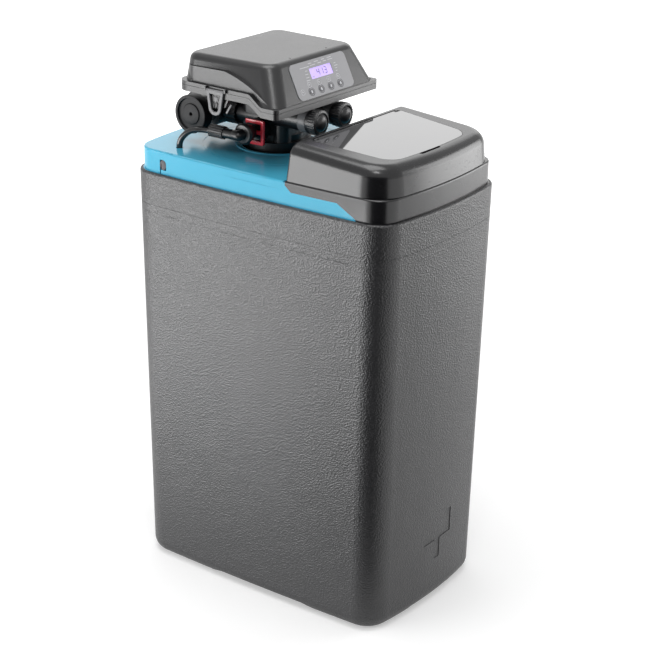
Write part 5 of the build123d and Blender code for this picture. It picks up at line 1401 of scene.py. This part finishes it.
@dataclass(frozen=True)
class ScrewCaps:
    """The two knurled caps at the valve's front, each with a smooth dome inside its ring."""

    spacing: float = 0.062
    height: float = 0.755
    back: float = -0.016
    knurl_start: float = -0.0215
    front: float = -0.034
    radius: float = 0.0188
    barrel_radius: float = 0.0171
    barrel_front: float = -0.0299
    collar_radius: float = 0.0178
    collar_span: Pair = (-0.0148, -0.0010)
    collar_bite: float = 0.0002
    knurls: int = 28
    knurl_rise: float = 0.0009
    dome: tuple[Pair, ...] = (
        (0.0016, 0.0008), (0.0022, 0.0000), (0.0005, -0.0016), (0.0009, 0.0000),
        (0.0005, 0.0017), (0.0022, 0.0019), (0.0030, 0.0015), (0.0034, 0.0007),
    )

    def drum(self, name: str, across: float, span: Pair, radius: float, vertices: int) -> Piece:
        """Makes a cylinder on one cap's axis.

        Args:
            name: Its name.
            across: The axis's place across the valve.
            span: Where it starts and ends along Y.
            radius: Its radius.
            vertices: How many sides it has.

        Returns:
            The cylinder.
        """
        start, end = span
        return Bench.begin(
            bpy.ops.mesh.primitive_cylinder_add,
            name,
            (across, (start + end) / 2, self.height),
            turn=ALONG_Y,
            vertices=vertices,
            radius=radius,
            depth=end - start,
        )

    def lies_at(self, place: float) -> Callable[[bmesh.types.BMFace], bool]:
        """Tells the flat face across the axis at a place along Y.

        Args:
            place: Where the face lies.

        Returns:
            The test for Bench.pick.
        """
        return lambda face: (
            abs(face.normal.y) > 0.99 and abs(face.calc_center_median().y - place) < 0.00001
        )

    def cap(self, name: str, node: str, across: float) -> None:
        """Turns one cap from a cylinder, by insets and pulls of its front and back.

        Args:
            name: The cap's name.
            node: The CAD node that it stands for.
            across: Its place across the valve.
        """
        span = (self.knurl_start, self.back)
        piece = self.drum(name, across, span, self.radius, 4 * self.knurls)
        Bench.edit(piece)
        Bench.pick(piece, self.lies_at(self.knurl_start))
        Bench.pull((0.0, self.front - self.knurl_start, 0.0))
        Bench.steps(self.dome, Vector((0.0, -1.0, 0.0)))
        Bench.pick(piece, self.lies_at(self.back))
        bpy.ops.mesh.inset(thickness=self.radius - self.barrel_radius)
        Bench.pull((0.0, self.barrel_front - self.back, 0.0))

        def stands_out(face: bmesh.types.BMFace) -> bool:
            """Tells whether a face lies on a knurl: two of each four round the skirt."""
            middle = face.calc_center_median()
            out = Vector((middle.x - across, 0.0, middle.z - self.height))
            on_skirt = out.length > 0.98 * self.radius and middle.y < self.knurl_start
            turn = math.atan2(out.z, out.x) / math.tau * self.knurls
            return on_skirt and abs(face.normal.y) < 0.1 and turn % 1.0 < 0.5

        Bench.pick(piece, stands_out)
        rise = {"value": self.knurl_rise}
        bpy.ops.mesh.extrude_region_shrink_fatten(TRANSFORM_OT_shrink_fatten=rise)
        Bench.bevel(piece, 0.0003, angle=35.0)
        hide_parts(node)
        Bench.finish(piece, Finish.VALVE, Body.BASE, smooth=40.0)

    def collar(self, name: str, across: float) -> None:
        """Makes the pale ring that sits on a barrel behind its cap.

        Args:
            name: The ring's name.
            across: Its place across the valve.
        """
        piece = self.drum(name, across, self.collar_span, self.collar_radius, 96)
        Bench.edit(piece)
        Bench.pick(piece, lambda face: abs(face.normal.y) > 0.99)
        bore = self.barrel_radius - self.collar_bite
        bpy.ops.mesh.inset(thickness=self.collar_radius - bore)
        bpy.ops.mesh.bridge_edge_loops()
        Bench.bevel(piece, 0.0002, angle=35.0)
        Bench.finish(piece, Finish.TRIM, Body.BASE)

    def build(self) -> None:
        """Makes both caps and the rings behind them."""
        for name, share in (("injector", -0.5), ("flow", 0.5)):
            self.cap(f"{name}_screw_cap", f"{name}_cap", share * self.spacing)
            self.collar(f"{name}_barrel_ring", share * self.spacing)


@dataclass(frozen=True)
class CableDoor:
    """The rubber grommet that fills the small door in the deck's left side."""

    wall: float = -0.1496
    depth: float = 0.0024
    middle: Pair = (0.1760, 0.6780)
    size: Pair = (0.0126, 0.0156)
    slit: Pair = (0.0016, 0.0100)
    slit_shift: Pair = (0.0032, -0.003)
    dome: tuple[Pair, ...] = ((0.0012, 0.0005), (0.0020, 0.0004), (0.0016, 0.0001))

    def build(self) -> None:
        """Makes the domed grommet with its slit."""
        along, height = self.middle
        piece = Bench.begin(
            bpy.ops.mesh.primitive_cylinder_add,
            "cable_grommet",
            (self.wall, along, height),
            turn=ALONG_X,
            scale=(self.size[1], self.size[0], 1.0),
            vertices=48,
            radius=0.5,
            depth=self.depth,
        )
        Bench.edit(piece)
        Bench.pick(piece, lambda face: face.normal.x < -0.99)
        Bench.steps(self.dome, Vector((-1.0, 0.0, 0.0)))
        aside, down = self.slit_shift
        cutter = Bench.begin(
            bpy.ops.mesh.primitive_cube_add,
            "slit_cutter",
            (self.wall - self.depth / 2, along + aside, height + down),
            scale=(2 * self.depth, *self.slit),
            size=1.0,
        )
        Bench.apply(piece, "BOOLEAN", operation="DIFFERENCE", object=cutter)
        bpy.data.objects.remove(cutter)
        Bench.finish(piece, Finish.GROMMET, Body.BASE)


@dataclass(frozen=True)
class SoftPiece:
    """A CAD solid that gets the softened edges of a moulded part."""

    node: str
    name: str
    finish: Finish
    body: Body
    width: float
    segments: int = 2

    def build(self, frame: dict) -> Piece:
        """Copies the CAD solid, merges its loose triangles and rounds its edges.


        Returns:
            The new piece.
        """
        Bench.clear()
        piece = bpy.data.objects.new(self.name, frame["nodes"][self.node].data.copy())
        bpy.context.collection.objects.link(piece)
        Bench.edit(piece)
        bpy.ops.mesh.select_all(action="SELECT")
        bpy.ops.mesh.remove_doubles(threshold=0.000002)
        bpy.ops.mesh.dissolve_limited(angle_limit=math.radians(1.0))
        Bench.bevel(piece, self.width, self.segments, angle=40.0)
        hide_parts(self.node)
        Bench.finish(piece, self.finish, self.body, smooth=40.0)
        return piece


@dataclass(frozen=True)
class Softener:
    """The clip, the bypass knobs, the brine nut and the brine elbow, with softened edges."""

    pieces: tuple[SoftPiece, ...] = (
        SoftPiece("brine_clip", "red_lock_clip", Finish.CLIP, Body.CLIP, 0.0009, 3),
        SoftPiece("bypass_spool", "bypass_knobs", Finish.KNOB, Body.SPOOL, 0.0009, 3),
        SoftPiece("brine_nut", "brine_grip_nut", Finish.VALVE, Body.BASE, 0.0005),
    )
    elbow: SoftPiece = SoftPiece(
        "brine_elbow", "brine_elbow_soft", Finish.VALVE, Body.BASE, 0.0006
    )
    flange_axis: Pair = (0.075, 0.730)
    flange_low: float = 0.070
    bell_neck: float = 0.0105

    def bell(self, elbow: Piece) -> None:
        """Draws the elbow's flange in towards the valve, so that it opens outwards as a bell.

        Args:
            elbow: The softened elbow.
        """
        axis = Vector((0.0, *self.flange_axis))
        for vertex in elbow.data.vertices:
            out = Vector((0.0, vertex.co.y, vertex.co.z)) - axis
            if vertex.co.x > -self.flange_low and out.length > self.bell_neck:
                out *= self.bell_neck / out.length
                vertex.co.y, vertex.co.z = axis.y + out.y, axis.z + out.z

    def build(self, frame: dict) -> None:
        """Makes every softened piece.
        """
        for piece in self.pieces:
            piece.build(frame)
        self.bell(self.elbow.build(frame))


def main() -> None:
    """Builds the studio, the finishes and every new piece in order."""
    logging.basicConfig(level=logging.INFO, format="%(name)s: %(message)s")
    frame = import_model()
    Bench.clear()
    Studio().build()
    effects = Effects()
    for finish in Finish:
        finish.value.build(effects)
    for assembly in ASSEMBLIES:
        assembly.dress(frame)
    for maker in (Display, KeyMarks, Latches, ScrewCaps, CableDoor):
        maker().build()
    Softener().build(frame)


if __name__ == "__main__":
    main()
